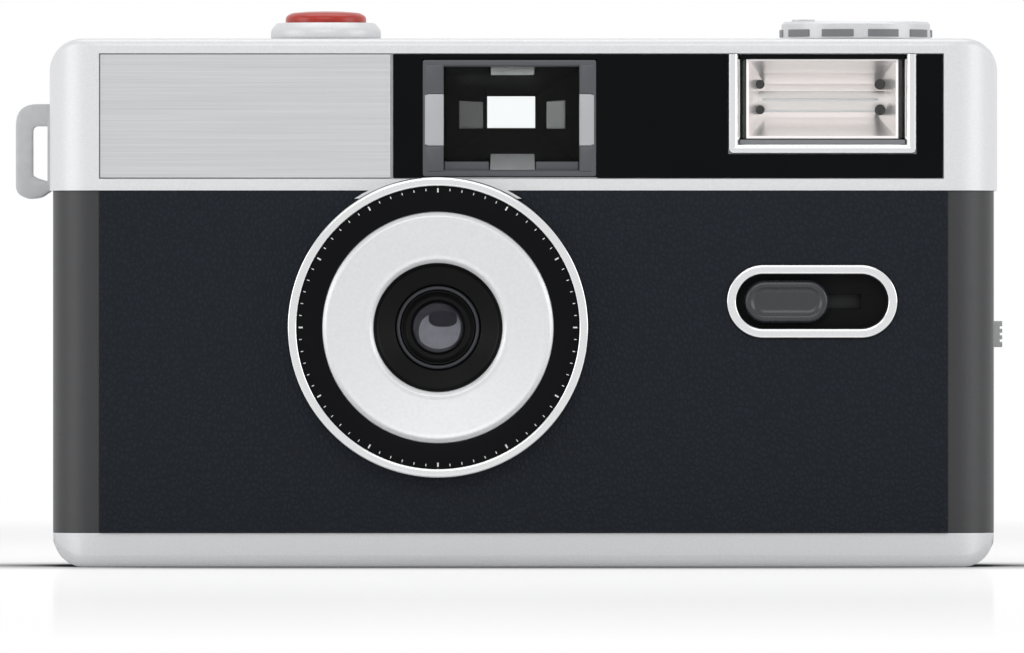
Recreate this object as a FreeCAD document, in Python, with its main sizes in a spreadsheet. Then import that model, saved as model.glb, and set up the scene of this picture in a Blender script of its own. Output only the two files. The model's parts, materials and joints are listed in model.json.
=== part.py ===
import FreeCAD, Part
import math
import os
import re
import Sketcher

# Compact 35 mm film camera with a built-in flash, as a parametric document in millimetres.
# The camera stands on its base. X runs to the right as seen from the front, Y runs from the
# front to the back, and Z runs up. The origin is the middle of the base's lower face.

# Driving sizes in millimetres and degrees: one cell each, with the size's name as its alias.
SIZES = (
    # Whole body
    ("body_width", 115.0),
    ("body_depth", 31.0),
    ("body_height", 64.0),
    ("front_corner", 6.5),
    ("rear_corner", 4.0),
    ("end_corner", 4.0),
    ("shell_inset", 0.4),
    # Walls and general gaps
    ("cover_wall", 1.4),
    ("shell_wall", 1.6),
    ("base_wall", 1.6),
    ("door_wall", 1.6),
    ("seam", 0.3),
    ("running_gap", 0.05),
    ("slide_gap", 0.15),
    ("base_height", 4.1),
    ("cover_bottom", 45.6),
    ("skirt_bottom", 52.2),
    ("base_corner", 3.8),
    ("edge_round", 1.0),
    # Leatherette
    ("leather_half_width", 51.4),
    ("leather_thickness", 0.35),
    # Front panels of the top cover
    ("panel_left", -51.3),
    ("panel_right", 50.8),
    ("panel_split", -15.95),
    ("panel_bottom", 47.1),
    ("panel_top", 62.1),
    ("panel_recess", 0.8),
    ("panel_thickness", 0.6),
    ("panel_seam", 0.1),
    # Lens
    ("lens_x", -10.35),
    ("lens_z", 29.0),
    ("ring_radius", 18.2),
    ("ring_inner", 17.1),
    ("ring_reach", 2.8),
    ("trim_outer", 14.0),
    ("trim_inner", 7.8),
    ("barrel_radius", 9.0),
    ("barrel_length", 7.1),
    ("glass_radius", 3.3),
    ("aperture_radius", 1.7),
    ("collar_width", 0.4),
    ("collar_drop", 1.0),
    # Viewfinder
    ("finder_left", -12.2),
    ("finder_right", 8.8),
    ("finder_bottom", 47.3),
    ("finder_top", 61.4),
    ("finder_border", 2.2),
    ("eyepiece_x", -1.5),
    ("eyepiece_z", 55.5),
    ("eyepiece_width", 6.5),
    ("eyepiece_height", 4.3),
    ("tunnel_wall", 0.9),
    # Flash
    ("flash_left", 24.9),
    ("flash_right", 47.5),
    ("flash_bottom", 50.1),
    ("flash_frame", 1.1),
    ("flash_reach", 0.4),
    ("reflector_depth", 7.6),
    ("reflector_wall", 0.5),
    ("tube_radius", 1.3),
    # Flash switch
    ("switch_left", 24.6),
    ("switch_right", 45.3),
    ("switch_z", 32.15),
    ("switch_height", 8.9),
    ("switch_frame", 1.2),
    ("switch_recess", 0.9),
    ("slider_length", 10.3),
    ("slider_height", 5.2),
    ("slider_offset", 0.9),
    ("slider_travel", 6.4),
    # Chassis, film path and chambers
    ("chassis_half_width", 55.1),
    ("chassis_front", -9.0),
    ("chassis_rear", 12.4),
    ("chassis_top", 52.0),
    ("film_plane", 11.7),
    ("gate_width", 36.0),
    ("gate_height", 24.0),
    ("film_width", 35.4),
    ("chamber_bottom", 7.1),
    ("chamber_top", 50.9),
    ("chamber_wall", 0.9),
    ("board_thickness", 1.6),
    ("box_mouth", 4.4),
    ("box_wall", 1.2),
    ("cassette_radius", 12.9),
    ("rewind_x", 40.5),
    ("rewind_y", 0.4),
    ("spool_x", -40.2),
    ("spool_y", 1.6),
    ("spool_chamber", 13.2),
    ("spool_radius", 6.4),
    ("sprocket_x", -21.5),
    ("sprocket_y", 5.65),
    ("sprocket_radius", 6.0),
    ("tooth_height", 0.9),
    ("sprocket_teeth", 8),
    # Advance wheel and frame counter
    ("wheel_radius", 15.3),
    ("wheel_bottom", 54.0),
    ("wheel_thickness", 3.2),
    ("wheel_grips", 36),
    ("dial_radius", 5.0),
    ("dial_x", -14.9),
    ("dial_bottom", 60.5),
    ("dial_thickness", 0.8),
    # Shutter release
    ("button_x", -24.0),
    ("button_y", -6.0),
    ("button_radius", 4.9),
    ("button_top", 67.4),
    ("button_travel", 1.3),
    ("collar_radius", 6.7),
    ("collar_top", 66.0),
    ("stem_radius", 1.6),
    # Rewind crank
    ("knob_radius", 9.2),
    ("knob_top", 66.2),
    ("fork_radius", 2.4),
    ("fork_tip", 47.0),
    ("crank_width", 3.4),
    ("crank_thickness", 1.0),
    # Door, hinge and latch
    ("knuckle_radius", 1.8),
    ("pin_radius", 0.8),
    ("knuckle_low", 20.0),
    ("knuckle_high", 38.0),
    ("lip_front", 9.2),
    ("latch_y", 5.0),
    ("latch_z", 28.2),
    ("latch_travel", 3.0),
    # Battery bay
    ("battery_x", 17.5),
    ("battery_y", -6.0),
    ("battery_radius", 5.6),
    ("battery_top", 48.2),
    ("bay_half_width", 6.6),
    ("bay_hinge_y", 0.9),
    ("bay_hinge_z", 0.85),
    ("capacitor_radius", 4.5),
    ("capacitor_bottom", 17.5),
    # Small parts
    ("wire_radius", 0.22),
    ("screw_radius", 0.8),
    ("screw_head", 1.9),
    ("screw_x", 51.6),
    ("lug_bar", 2.0),
    ("lug_reach", 4.3),
    ("lug_depth", 2.8),
    ("lug_y", 0.0),
)

# Places that follow from the sizes, each written once and used by its name.
PLACES = {
    "half_width": "body_width / 2",
    "cover_front": "-body_depth / 2",
    "cover_rear": "body_depth / 2",
    "shell_half": "half_width - shell_inset",
    "shell_front": "cover_front + shell_inset",
    "shell_back": "cover_rear - shell_inset",
    "shell_corner": "front_corner - shell_inset",
    "shell_rear_corner": "rear_corner - shell_inset",
    "inner_front": "shell_front + shell_wall",
    "door_inner": "shell_back - door_wall",
    "door_bottom": "base_height + seam",
    "door_top": "skirt_bottom - seam",
    "side_end": "lip_front - seam",
    "ceiling": "body_height - cover_wall",
    "leather_front": "shell_front - leather_thickness",
    "plate_back": "cover_front + panel_recess",
    "plate_front": "plate_back - panel_thickness",
    "cover_inner_front": "cover_front + cover_wall",
    "cover_inner_rear": "cover_rear - cover_wall",
    "ring_front": "cover_front - ring_reach",
    "barrel_rear": "cover_front + barrel_length - 2.6",
    "gate_left": "lens_x - gate_width / 2",
    "gate_right": "lens_x + gate_width / 2",
    "film_low": "lens_z - film_width / 2",
    "film_high": "lens_z + film_width / 2",
    "switch_low": "switch_z - switch_height / 2",
    "switch_high": "switch_z + switch_height / 2",
    "track_left": "switch_left + switch_frame",
    "track_right": "switch_right - switch_frame",
    "track_low": "switch_low + switch_frame",
    "track_high": "switch_high - switch_frame",
    "track_floor": "shell_front + switch_recess",
    "slider_left": "track_left + slider_offset",
    "slider_right": "slider_left + slider_length",
    "shank_left": "slider_left + 2",
    "shank_right": "shank_left + 5.6",
    "lug_outer": "-half_width - lug_reach",
    "wheel_top": "wheel_bottom + wheel_thickness",
    "stem_bottom": "wheel_bottom - 0.4",
    "bay_front": "battery_y - bay_half_width",
    "reflector_rear": "cover_inner_front + reflector_depth",
    "tube_y": "reflector_rear - 3",
    "tube_z": "(flash_bottom + panel_top) / 2 + 0.3",
    "lever_x": "button_x + 6.5",
    "lever_z": "chassis_top - 5",
    "lever_front": "chassis_front - 1.5",
    "lever_back": "chassis_front - 0.9",
    "blade_x": "lens_x + 7.6",
    "blade_z": "lens_z + 3",
    "blade_front": "chassis_front - 1.1",
    "blade_back": "chassis_front - 0.8",
    "latch_inner": "shell_half - shell_wall - 0.2",
    "hinge_x": "knuckle_radius - shell_half",
    "hinge_y": "shell_back - knuckle_radius",
    "sprocket_bottom": "film_high - 3.7",
    "sprocket_top": "film_high - 0.9",
    "finger_radius": "dial_x - dial_radius - sprocket_x - 0.3",
    "capacitor_y": "battery_y + battery_radius + capacitor_radius + 2 * chamber_wall + 0.1",
    "board_back": "chassis_front + board_thickness",
    "holder_half": "battery_radius + chamber_wall",
    "lamp_x": "eyepiece_x + 10",
    "plate_rear": "film_plane + 1.15",
    "pad_top": "stem_bottom - 0.6",
    "lug_low": "cover_bottom - 0.2",
    "lug_high": "lug_low + 10.8",
    "root_edge": "-half_width - 0.05",
    "knob_bottom": "body_height + slide_gap",
    "crank_x": "rewind_x + knob_radius - 3.4",
    "crank_z": "knob_top - 0.1 - crank_thickness / 2",
}

document = FreeCAD.newDocument("FilmCamera")
sheet = document.addObject("Spreadsheet::Sheet", "Sizes")
for row, (alias, value) in enumerate(SIZES, start=1):
    sheet.set(f"A{row}", alias)
    sheet.set(f"B{row}", str(value))
    sheet.setAlias(f"B{row}", alias)
document.recompute()

ALIASES = {alias for alias, value in SIZES}
WORD = re.compile(r"[a-z_]+")
PIECES = []


def bound(text):
    """Write a place or a size as an expression on the sheet's cells."""
    def swap(word):
        name = word.group()
        if name in PLACES:
            return "(" + bound(PLACES[name]) + ")"
        return "Sizes." + name if name in ALIASES else name
    return WORD.sub(swap, str(text))


def value(text):
    """Work out a place or a size as a plain number."""
    return float(sheet.evalExpression(bound(text)))


def piece(label):
    """Start a sub-part as a body of its own."""
    body = document.addObject("PartDesign::Body", label)
    body.Label = label
    PIECES.append(body)
    return body


def origin_plane(body, role):
    """Find one of the body's own origin planes by its role."""
    return next(item for item in body.Origin.OriginFeatures if item.Role == role)


def sketch_on(body, plane, level, shift=("0", "0")):
    """Lay a sketch on an origin plane, raised to a level along that plane's axis."""
    sketch = body.newObject("Sketcher::SketchObject", body.Label + "_sketch")
    sketch.AttachmentSupport = [(origin_plane(body, plane + "_Plane"), "")]
    sketch.MapMode = "FlatFace"
    sign = "-" if plane == "XZ" else ""
    sketch.setExpression(".AttachmentOffset.Base.x", bound(shift[0]))
    sketch.setExpression(".AttachmentOffset.Base.y", bound(shift[1]))
    sketch.setExpression(".AttachmentOffset.Base.z", bound(f"{sign}({level})"))
    return sketch


def pin_point(sketch, geometry, position, across, up):
    """Hold a point of the sketch at its distances from the sketch's origin."""
    for kind, text in (("DistanceX", across), ("DistanceY", up)):
        index = sketch.addConstraint(Sketcher.Constraint(kind, -1, 1, geometry, position, value(text)))
        sketch.setExpression(f"Constraints[{index}]", bound(text))


def circle(across, up, radius):
    """Outline: a circle by its centre and radius."""
    def draw(sketch):
        centre = FreeCAD.Vector(value(across), value(up), 0)
        shape = Part.Circle(centre, FreeCAD.Vector(0, 0, 1), value(radius))
        geometry = sketch.addGeometry(shape, False)
        pin_point(sketch, geometry, 3, across, up)
        index = sketch.addConstraint(Sketcher.Constraint("Radius", geometry, value(radius)))
        sketch.setExpression(f"Constraints[{index}]", bound(radius))
    return draw


def polygon(*corners):
    """Outline: straight runs between corners, each rounded if it states a radius.

    A rounded corner stands between a level run and an upright one.
    """
    def draw(sketch):
        spots = [(value(corner[0]), value(corner[1])) for corner in corners]
        ends = []
        for index, corner in enumerate(corners):
            if len(corner) == 2:
                ends.append((corner, corner, None))
                continue
            near = []
            for neighbour in (spots[index - 1], spots[(index + 1) % len(spots)]):
                across, up = (neighbour[axis] - spots[index][axis] for axis in (0, 1))
                steps = ["+" if step > 0 else "-" for step in (across, up)]
                if abs(across) > abs(up):
                    near.append((f"{corner[0]} {steps[0]} ({corner[2]})", corner[1]))
                else:
                    near.append((corner[0], f"{corner[1]} {steps[1]} ({corner[2]})"))
            level = 0 if near[0][1] == corner[1] else 1
            middle = (near[level][0], near[1 - level][1])
            ends.append((near[0], near[1], middle))
        lines = []
        for index in range(len(corners)):
            start = ends[index][1]
            end = ends[(index + 1) % len(corners)][0]
            first = FreeCAD.Vector(value(start[0]), value(start[1]), 0)
            last = FreeCAD.Vector(value(end[0]), value(end[1]), 0)
            line = sketch.addGeometry(Part.LineSegment(first, last), False)
            pin_point(sketch, line, 1, *start)
            lines.append((line, end))
        for index, (line, end) in enumerate(lines):
            following = (index + 1) % len(corners)
            middle = ends[following][2]
            if middle is None:
                sketch.addConstraint(Sketcher.Constraint("Coincident", line, 2, lines[following][0], 1))
                continue
            pin_point(sketch, line, 2, *end)
            add_corner(sketch, ends[following], middle, line, lines[following][0])
    return draw


def add_corner(sketch, ends, middle, before, after):
    """Join two runs of a sketch with an arc about the corner's middle."""
    centre = FreeCAD.Vector(value(middle[0]), value(middle[1]), 0)
    first, last = (FreeCAD.Vector(value(end[0]), value(end[1]), 0) - centre for end in ends[:2])
    turn = first.cross(last).z
    start, stop = (first, last) if turn > 0 else (last, first)
    ring = Part.Circle(centre, FreeCAD.Vector(0, 0, 1), first.Length)
    angles = (math.atan2(start.y, start.x), math.atan2(stop.y, stop.x))
    arc = sketch.addGeometry(Part.ArcOfCircle(ring, *angles), False)
    joined = (1, 2) if turn > 0 else (2, 1)
    sketch.addConstraint(Sketcher.Constraint("Coincident", before, 2, arc, joined[0]))
    sketch.addConstraint(Sketcher.Constraint("Coincident", after, 1, arc, joined[1]))
    index = sketch.addConstraint(Sketcher.Constraint("DistanceX", -1, 1, arc, 3, centre.x))
    sketch.setExpression(f"Constraints[{index}]", bound(middle[0]))


def rectangle(left, right, low, high, radius=None):
    """Outline: a rectangle, with all its corners rounded if a radius is given."""
    extra = () if radius is None else (radius,)
    return polygon(
        (left, low) + extra,
        (right, low) + extra,
        (right, high) + extra,
        (left, high) + extra,
    )


def plan(half, front, back, front_radius, back_radius):
    """Outline: the camera's plan, with larger corners at the front than at the back."""
    return polygon(
        (f"-({half})", front, front_radius),
        (half, front, front_radius),
        (half, back, back_radius),
        (f"-({half})", back, back_radius),
    )


def slot(left, right, low, high):
    """Outline: a long slot with round ends."""
    half = f"(({high}) - ({low})) / 2"
    def draw(sketch):
        middle = f"(({high}) + ({low})) / 2"
        inner = (f"({left}) + {half}", f"({right}) - {half}")
        corners = [(inner[0], low), (inner[1], low), (inner[1], high), (inner[0], high)]
        spots = [FreeCAD.Vector(value(across), value(up), 0) for across, up in corners]
        low_line = sketch.addGeometry(Part.LineSegment(spots[0], spots[1]), False)
        high_line = sketch.addGeometry(Part.LineSegment(spots[2], spots[3]), False)
        for line, first in ((low_line, 0), (high_line, 2)):
            pin_point(sketch, line, 1, *corners[first])
            pin_point(sketch, line, 2, *corners[first + 1])
        turns = (
            (inner[1], (-math.pi / 2, math.pi / 2), low_line, high_line),
            (inner[0], (math.pi / 2, 3 * math.pi / 2), high_line, low_line),
        )
        for across, angles, before, after in turns:
            centre = FreeCAD.Vector(value(across), value(middle), 0)
            curve = Part.Circle(centre, FreeCAD.Vector(0, 0, 1), value(half))
            arc = sketch.addGeometry(Part.ArcOfCircle(curve, *angles), False)
            sketch.addConstraint(Sketcher.Constraint("Coincident", before, 2, arc, 1))
            sketch.addConstraint(Sketcher.Constraint("Coincident", after, 1, arc, 2))
            index = sketch.addConstraint(Sketcher.Constraint("DistanceX", -1, 1, arc, 3, centre.x))
            sketch.setExpression(f"Constraints[{index}]", bound(across))
    return draw


def extrude(body, kind, plane, low, high, outlines):
    """Raise a sketch of the outlines from its low level to its high one."""
    sketch = sketch_on(body, plane, low)
    for draw in outlines:
        draw(sketch)
    feature = body.newObject("PartDesign::" + kind, body.Label + "_" + kind.lower())
    feature.Profile = sketch
    feature.setExpression("Length", bound(f"({high}) - ({low})"))
    feature.Reversed = (plane == "XZ") == (kind == "Pad")
    document.recompute()
    return feature


def pad(body, plane, low, high, *outlines):
    """Add the solid between two levels of a plane."""
    return extrude(body, "Pad", plane, low, high, outlines)


def pocket(body, plane, low, high, *outlines):
    """Cut the space between two levels of a plane, and check that it took something away."""
    before = body.Shape.Volume
    feature = extrude(body, "Pocket", plane, low, high, outlines)
    if body.Shape.Volume >= before:
        raise ValueError(f"{feature.Name} of {body.Label} cuts nothing")
    return feature


def spin(body, kind, axis, centre, outline):
    """Turn an outline about an upright axis (Z) or one from front to back (Y).

    The outline's points are (radius, height) about Z and (depth, radius) about Y.
    """
    if axis == "Z":
        sketch = sketch_on(body, "XZ", centre[1], (centre[0], "0"))
        line = "V_Axis"
    else:
        sketch = sketch_on(body, "YZ", centre[0], ("0", centre[1]))
        line = "H_Axis"
    outline(sketch)
    feature = body.newObject("PartDesign::" + kind, body.Label + "_" + kind.lower())
    feature.Profile = sketch
    feature.ReferenceAxis = (sketch, [line])
    document.recompute()
    return feature


def revolve(body, axis, centre, outline):
    """Add a turned solid."""
    return spin(body, "Revolution", axis, centre, outline)


def groove(body, axis, centre, outline):
    """Cut a turned space."""
    return spin(body, "Groove", axis, centre, outline)


def edges_where(shape, chosen):
    """Names of the edges whose middle point and direction pass the test."""
    names = []
    for index, edge in enumerate(shape.Edges, start=1):
        span = (edge.FirstParameter + edge.LastParameter) / 2
        if chosen(edge.valueAt(span), edge.tangentAt(span)):
            names.append(f"Edge{index}")
    return names


def soften(body, kind, size, chosen):
    """Round (Fillet) or bevel (Chamfer) the chosen edges of the body's last feature."""
    base = body.Tip
    feature = body.newObject("PartDesign::" + kind, body.Label + "_" + kind.lower())
    feature.Base = (base, edges_where(base.Shape, chosen))
    feature.setExpression("Radius" if kind == "Fillet" else "Size", bound(size))
    document.recompute()
    return feature


def at(place, text):
    """True where a coordinate equals a named place."""
    return abs(place - value(text)) < 0.01


def repeat_round(body, features, axis_sketch, line, count):
    """Repeat features evenly round an axis."""
    pattern = body.newObject("PartDesign::PolarPattern", body.Label + "_pattern")
    pattern.Originals = features
    pattern.Axis = (axis_sketch, [line])
    pattern.Angle = 360
    pattern.setExpression("Occurrences", bound(count))
    body.Tip = pattern
    document.recompute()
    return pattern


def coil(body, centre, radius, low, high, turns):
    """Wind a wire of six-sided section up an upright axis, from its low end to its high end."""
    sketch = sketch_on(body, "XZ", centre[1], (centre[0], "0"))
    middle = f"({low}) + wire_radius"
    polygon(
        (f"{radius} - wire_radius", middle),
        (f"{radius} - wire_radius / 2", f"{middle} - wire_radius * 0.866"),
        (f"{radius} + wire_radius / 2", f"{middle} - wire_radius * 0.866"),
        (f"{radius} + wire_radius", middle),
        (f"{radius} + wire_radius / 2", f"{middle} + wire_radius * 0.866"),
        (f"{radius} - wire_radius / 2", f"{middle} + wire_radius * 0.866"),
    )(sketch)
    helix = body.newObject("PartDesign::AdditiveHelix", body.Label + "_helix")
    helix.Profile = sketch
    helix.ReferenceAxis = (sketch, ["V_Axis"])
    helix.Mode = "height-turns-angle"
    helix.setExpression("Height", bound(f"({high}) - ({low}) - 2 * wire_radius"))
    helix.Turns = turns
    document.recompute()
    return helix


def wedge(body, kind, front, mouth, back, floor):
    """Add or cut a block with flat walls between a front and a back rectangle.

    Each rectangle is (left, right, low, high).
    """
    feature = body.newObject(f"PartDesign::{kind}Wedge", body.Label + "_wedge")
    sides = ("Ymin", "Ymax", "Xmin", "Xmax", "Zmin", "Zmax", "X2min", "X2max", "Z2min", "Z2max")
    for side, text in zip(sides, (front, back, *mouth, *floor)):
        setattr(feature, side, value(text))
        feature.setExpression(side, bound(text))
    document.recompute()
    return feature


def around(across, up, half_width, half_height):
    """Sides of a rectangle about its middle."""
    return (f"{across} - ({half_width})", f"{across} + ({half_width})",
            f"{up} - ({half_height})", f"{up} + ({half_height})")


SPOOL = ("spool_x", "spool_y")
REWIND = ("rewind_x", "rewind_y")
SPROCKET = ("sprocket_x", "sprocket_y")
BATTERY = ("battery_x", "battery_y")
BUTTON = ("button_x", "button_y")
DIAL = ("dial_x", "sprocket_y")
WINDOW = ("dial_x", "sprocket_y - 3")
RELEASE = ("gate_left + 3.4", "0")
SCREWS = (("-screw_x", "-7"), ("screw_x", "-7"), ("-screw_x", "9.4"), ("screw_x", "9.4"))
HINGE = ("hinge_x", "hinge_y")
LENS = ("lens_x", "lens_z")


def make_chassis():
    """Moulded inner frame: two film chambers, the film's rails, the lens board and the bearings."""
    body = piece("chassis")
    top = "chassis_top"
    pad(body, "XY", "base_wall", top,
        plan("chassis_half_width", "chassis_front", "chassis_rear", "1", "3.4"))
    for centre, radius in ((SPOOL, "spool_chamber"), (REWIND, "cassette_radius")):
        pad(body, "XY", "base_wall", top, circle(*centre, f"{radius} + chamber_wall"))
    pocket(body, "XZ", "chassis_rear", "chassis_rear + 5",
           rectangle("-half_width", "half_width", "0", "body_height"))
    # Take-up chamber and cassette chamber, both open to the back
    for centre, radius, left, right in (
        (SPOOL, "spool_chamber", "spool_x - spool_chamber", "gate_left - 2.65"),
        (REWIND, "cassette_radius", "rewind_x - cassette_radius", "rewind_x + cassette_radius"),
    ):
        pocket(body, "XY", "chamber_bottom", "chamber_top", circle(*centre, radius))
        pocket(body, "XY", "chamber_bottom", "chamber_top",
               rectangle(left, right, centre[1], "chassis_rear + 1"))
    pocket(body, "XY", "base_wall + 1.6", "chamber_bottom", circle(*REWIND, "7"))
    # Film channel between the outer rails
    pocket(body, "XZ", "film_plane", "chassis_rear",
           rectangle("spool_x", "rewind_x", "film_low", "film_high"))
    # Seat of the light box behind the lens board, and the board's opening
    seat = around("lens_x", "lens_z", "gate_width / 2 + box_wall + running_gap",
                  "gate_height / 2 + box_wall + running_gap")
    pocket(body, "XZ", "board_back", "film_plane", rectangle(*seat))
    pocket(body, "XZ", "chassis_front", "board_back",
           rectangle(*around("lens_x", "lens_z", "box_mouth - 0.9", "box_mouth - 0.9")))
    # Notch for the viewfinder, from front to back
    pocket(body, "XY", "finder_bottom - tunnel_wall - 0.1", top,
           rectangle("finder_left - tunnel_wall - 0.3", "finder_right + tunnel_wall + 0.3",
                     "chassis_front - 1", "chassis_rear + 1"))
    # Seat of the battery holder, open at the front, and the seat of its door
    pocket(body, "XY", "base_wall", "battery_top + chamber_wall + running_gap",
           rectangle("battery_x - holder_half - running_gap", "battery_x + holder_half + running_gap",
                     "chassis_front - 1", "battery_y + holder_half + running_gap"))
    pocket(body, "XY", "base_wall", "base_wall + 0.9",
           rectangle("battery_x - bay_half_width - 0.4", "battery_x + bay_half_width + 0.4",
                     "bay_front - 0.4", "bay_hinge_y + 1.4"))
    # Bay of the flash capacitor, open at the top
    pocket(body, "XY", "capacitor_bottom", top,
           circle("battery_x", "capacitor_y", "capacitor_radius + 0.05"))
    # Sprocket opening above the film gate, and its bearing
    pocket(body, "XY", "sprocket_bottom - 0.2", "sprocket_top + 0.2",
           circle(*SPROCKET, "sprocket_radius + tooth_height + 0.4"))
    pocket(body, "XY", "sprocket_top + 0.2", top, circle(*SPROCKET, "1.8 + running_gap"))
    # Bearings of the take-up spool and of the rewind shaft
    pocket(body, "XY", "chamber_top", top, circle(*SPOOL, "4 + running_gap"))
    pocket(body, "XY", "chamber_bottom - 2.4", "chamber_bottom", circle(*SPOOL, "2 + running_gap"))
    pocket(body, "XY", "chamber_top", top, circle(*REWIND, "fork_radius + running_gap"))
    # Clearance for the release lever's pad and the well of the rewind release
    pocket(body, "XY", "lever_z - 0.4", top,
           rectangle("button_x - 3.4", "lever_x + 0.6", "chassis_front - 1", "button_y + 2.6"))
    pocket(body, "XY", "base_wall", "base_wall + 4.6", circle(*RELEASE, "3.5"))
    # Well of the door latch and window of the flash switch
    pocket(body, "YZ", "latch_inner - 1.1", "chassis_half_width + 1",
           rectangle("2", "chassis_rear + 1", "latch_z - 3", "latch_z + 10.6"))
    pocket(body, "XZ", "chassis_front - 6", "chassis_front",
           rectangle("shank_left - 0.8", "shank_right + slider_travel + 0.8",
                     "switch_z - 2.4", "switch_z + 3.8"))
    # Holes of the case screws
    for across, depth in SCREWS:
        pocket(body, "XY", "base_wall", "base_wall + 4.4",
               circle(across, depth, "screw_radius + running_gap"))
    # Pivot posts of the release lever, the shutter blade and the counter dial
    pad(body, "XZ", "lever_front - 0.4", "chassis_front", circle("lever_x", "lever_z", "1"))
    pad(body, "XZ", "blade_front - 0.6", "chassis_front", circle("blade_x", "blade_z", "0.8"))
    pad(body, "XY", "chassis_top - 5", "dial_bottom - 0.2", circle(*DIAL, "2"))
    pad(body, "XY", "dial_bottom - 0.2", "dial_bottom + dial_thickness + 0.3", circle(*DIAL, "1.2"))


def make_light_box():
    """Funnel from the lens board to the film gate, with flat walls against stray light."""
    body = piece("light_box")
    gate = ("gate_width / 2", "gate_height / 2")
    wedge(body, "Additive",
          "board_back", around("lens_x", "lens_z", "box_mouth + box_wall", "box_mouth + box_wall"),
          "film_plane", around("lens_x", "lens_z", f"{gate[0]} + box_wall", f"{gate[1]} + box_wall"))
    wedge(body, "Subtractive", "board_back", around("lens_x", "lens_z", "box_mouth", "box_mouth"),
          "film_plane", around("lens_x", "lens_z", *gate))


def make_battery_holder():
    """Upright holder of the battery, open at the base."""
    body = piece("battery_holder")
    pad(body, "XY", "base_wall + 0.9", "battery_top + chamber_wall",
        rectangle(*around("battery_x", "battery_y", "holder_half", "holder_half")))
    pocket(body, "XY", "base_wall + 0.9", "battery_top", circle(*BATTERY, "battery_radius"))


def make_front_cover():
    """Moulded front shell: it wraps round both ends and carries the hinge's knuckles."""
    body = piece("front_cover")
    low, high = "base_height", "cover_bottom"
    pad(body, "XY", low, high,
        plan("shell_half", "shell_front", "shell_back", "shell_corner", "shell_rear_corner"))
    pocket(body, "XY", low, high,
           plan("shell_half - shell_wall", "inner_front", "shell_back + 3",
                "shell_corner - shell_wall", "1"))
    # The right end stops at the door's lip and the left one at the hinge
    pocket(body, "XY", low, high,
           rectangle("shell_half - 9", "shell_half + 1", "side_end", "shell_back + 1"))
    pocket(body, "XY", low, high,
           rectangle("-shell_half - 1", "9 - shell_half", "hinge_y", "shell_back + 1"))
    pad(body, "XY", "door_bottom", "cover_bottom - seam", circle(*HINGE, "knuckle_radius"))
    pocket(body, "XY", "knuckle_low - seam / 2", "knuckle_high + seam / 2",
           rectangle("-shell_half - 1", "hinge_x + knuckle_radius + 1",
                     "hinge_y - knuckle_radius - seam", "shell_back + 1"))
    pocket(body, "XY", low, high, circle(*HINGE, "pin_radius + running_gap"))
    # Mouth of the lens barrel
    pocket(body, "XZ", "shell_front", "inner_front", circle(*LENS, "barrel_radius + running_gap"))
    # Track of the flash switch and the slot of its shank
    pocket(body, "XZ", "shell_front", "track_floor",
           slot("track_left", "track_right", "track_low", "track_high"))
    pocket(body, "XZ", "track_floor", "inner_front",
           rectangle("shank_left - slide_gap", "shank_right + slider_travel + slide_gap",
                     "switch_z - 0.7 - slide_gap", "switch_z + 0.7 + slide_gap"))
    # Slot of the door latch
    pocket(body, "YZ", "shell_half - shell_wall", "shell_half",
           rectangle("latch_y - 1.2 - slide_gap", "latch_y + 1.2 + slide_gap",
                     "latch_z - 1 - slide_gap", "latch_z + 1 + latch_travel + slide_gap"))


def make_front_leatherette():
    """Textured covering of the front, cut out round the lens and the flash switch."""
    body = piece("front_leatherette")
    front, back = "leather_front", "shell_front"
    pad(body, "XZ", front, back,
        rectangle("-leather_half_width", "leather_half_width", "base_height", "cover_bottom"))
    pocket(body, "XZ", front, back, circle(*LENS, "ring_radius + running_gap"))
    reach = "ring_radius + collar_width + running_gap"
    drop = "cover_bottom - collar_drop - running_gap"
    low = f"sqrt(({reach}) * ({reach}) - ({drop} - lens_z) * ({drop} - lens_z))"
    high = f"sqrt(({reach}) * ({reach}) - (cover_bottom - lens_z) * (cover_bottom - lens_z))"
    pocket(body, "XZ", front, back, polygon(
        (f"lens_x - {low}", drop),
        (f"lens_x + {low}", drop),
        (f"lens_x + {high} + 0.3", "cover_bottom"),
        (f"lens_x - {high} - 0.3", "cover_bottom"),
    ))
    pocket(body, "XZ", front, back,
           slot("switch_left - running_gap", "switch_right + running_gap",
                "switch_low - running_gap", "switch_high + running_gap"))


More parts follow.
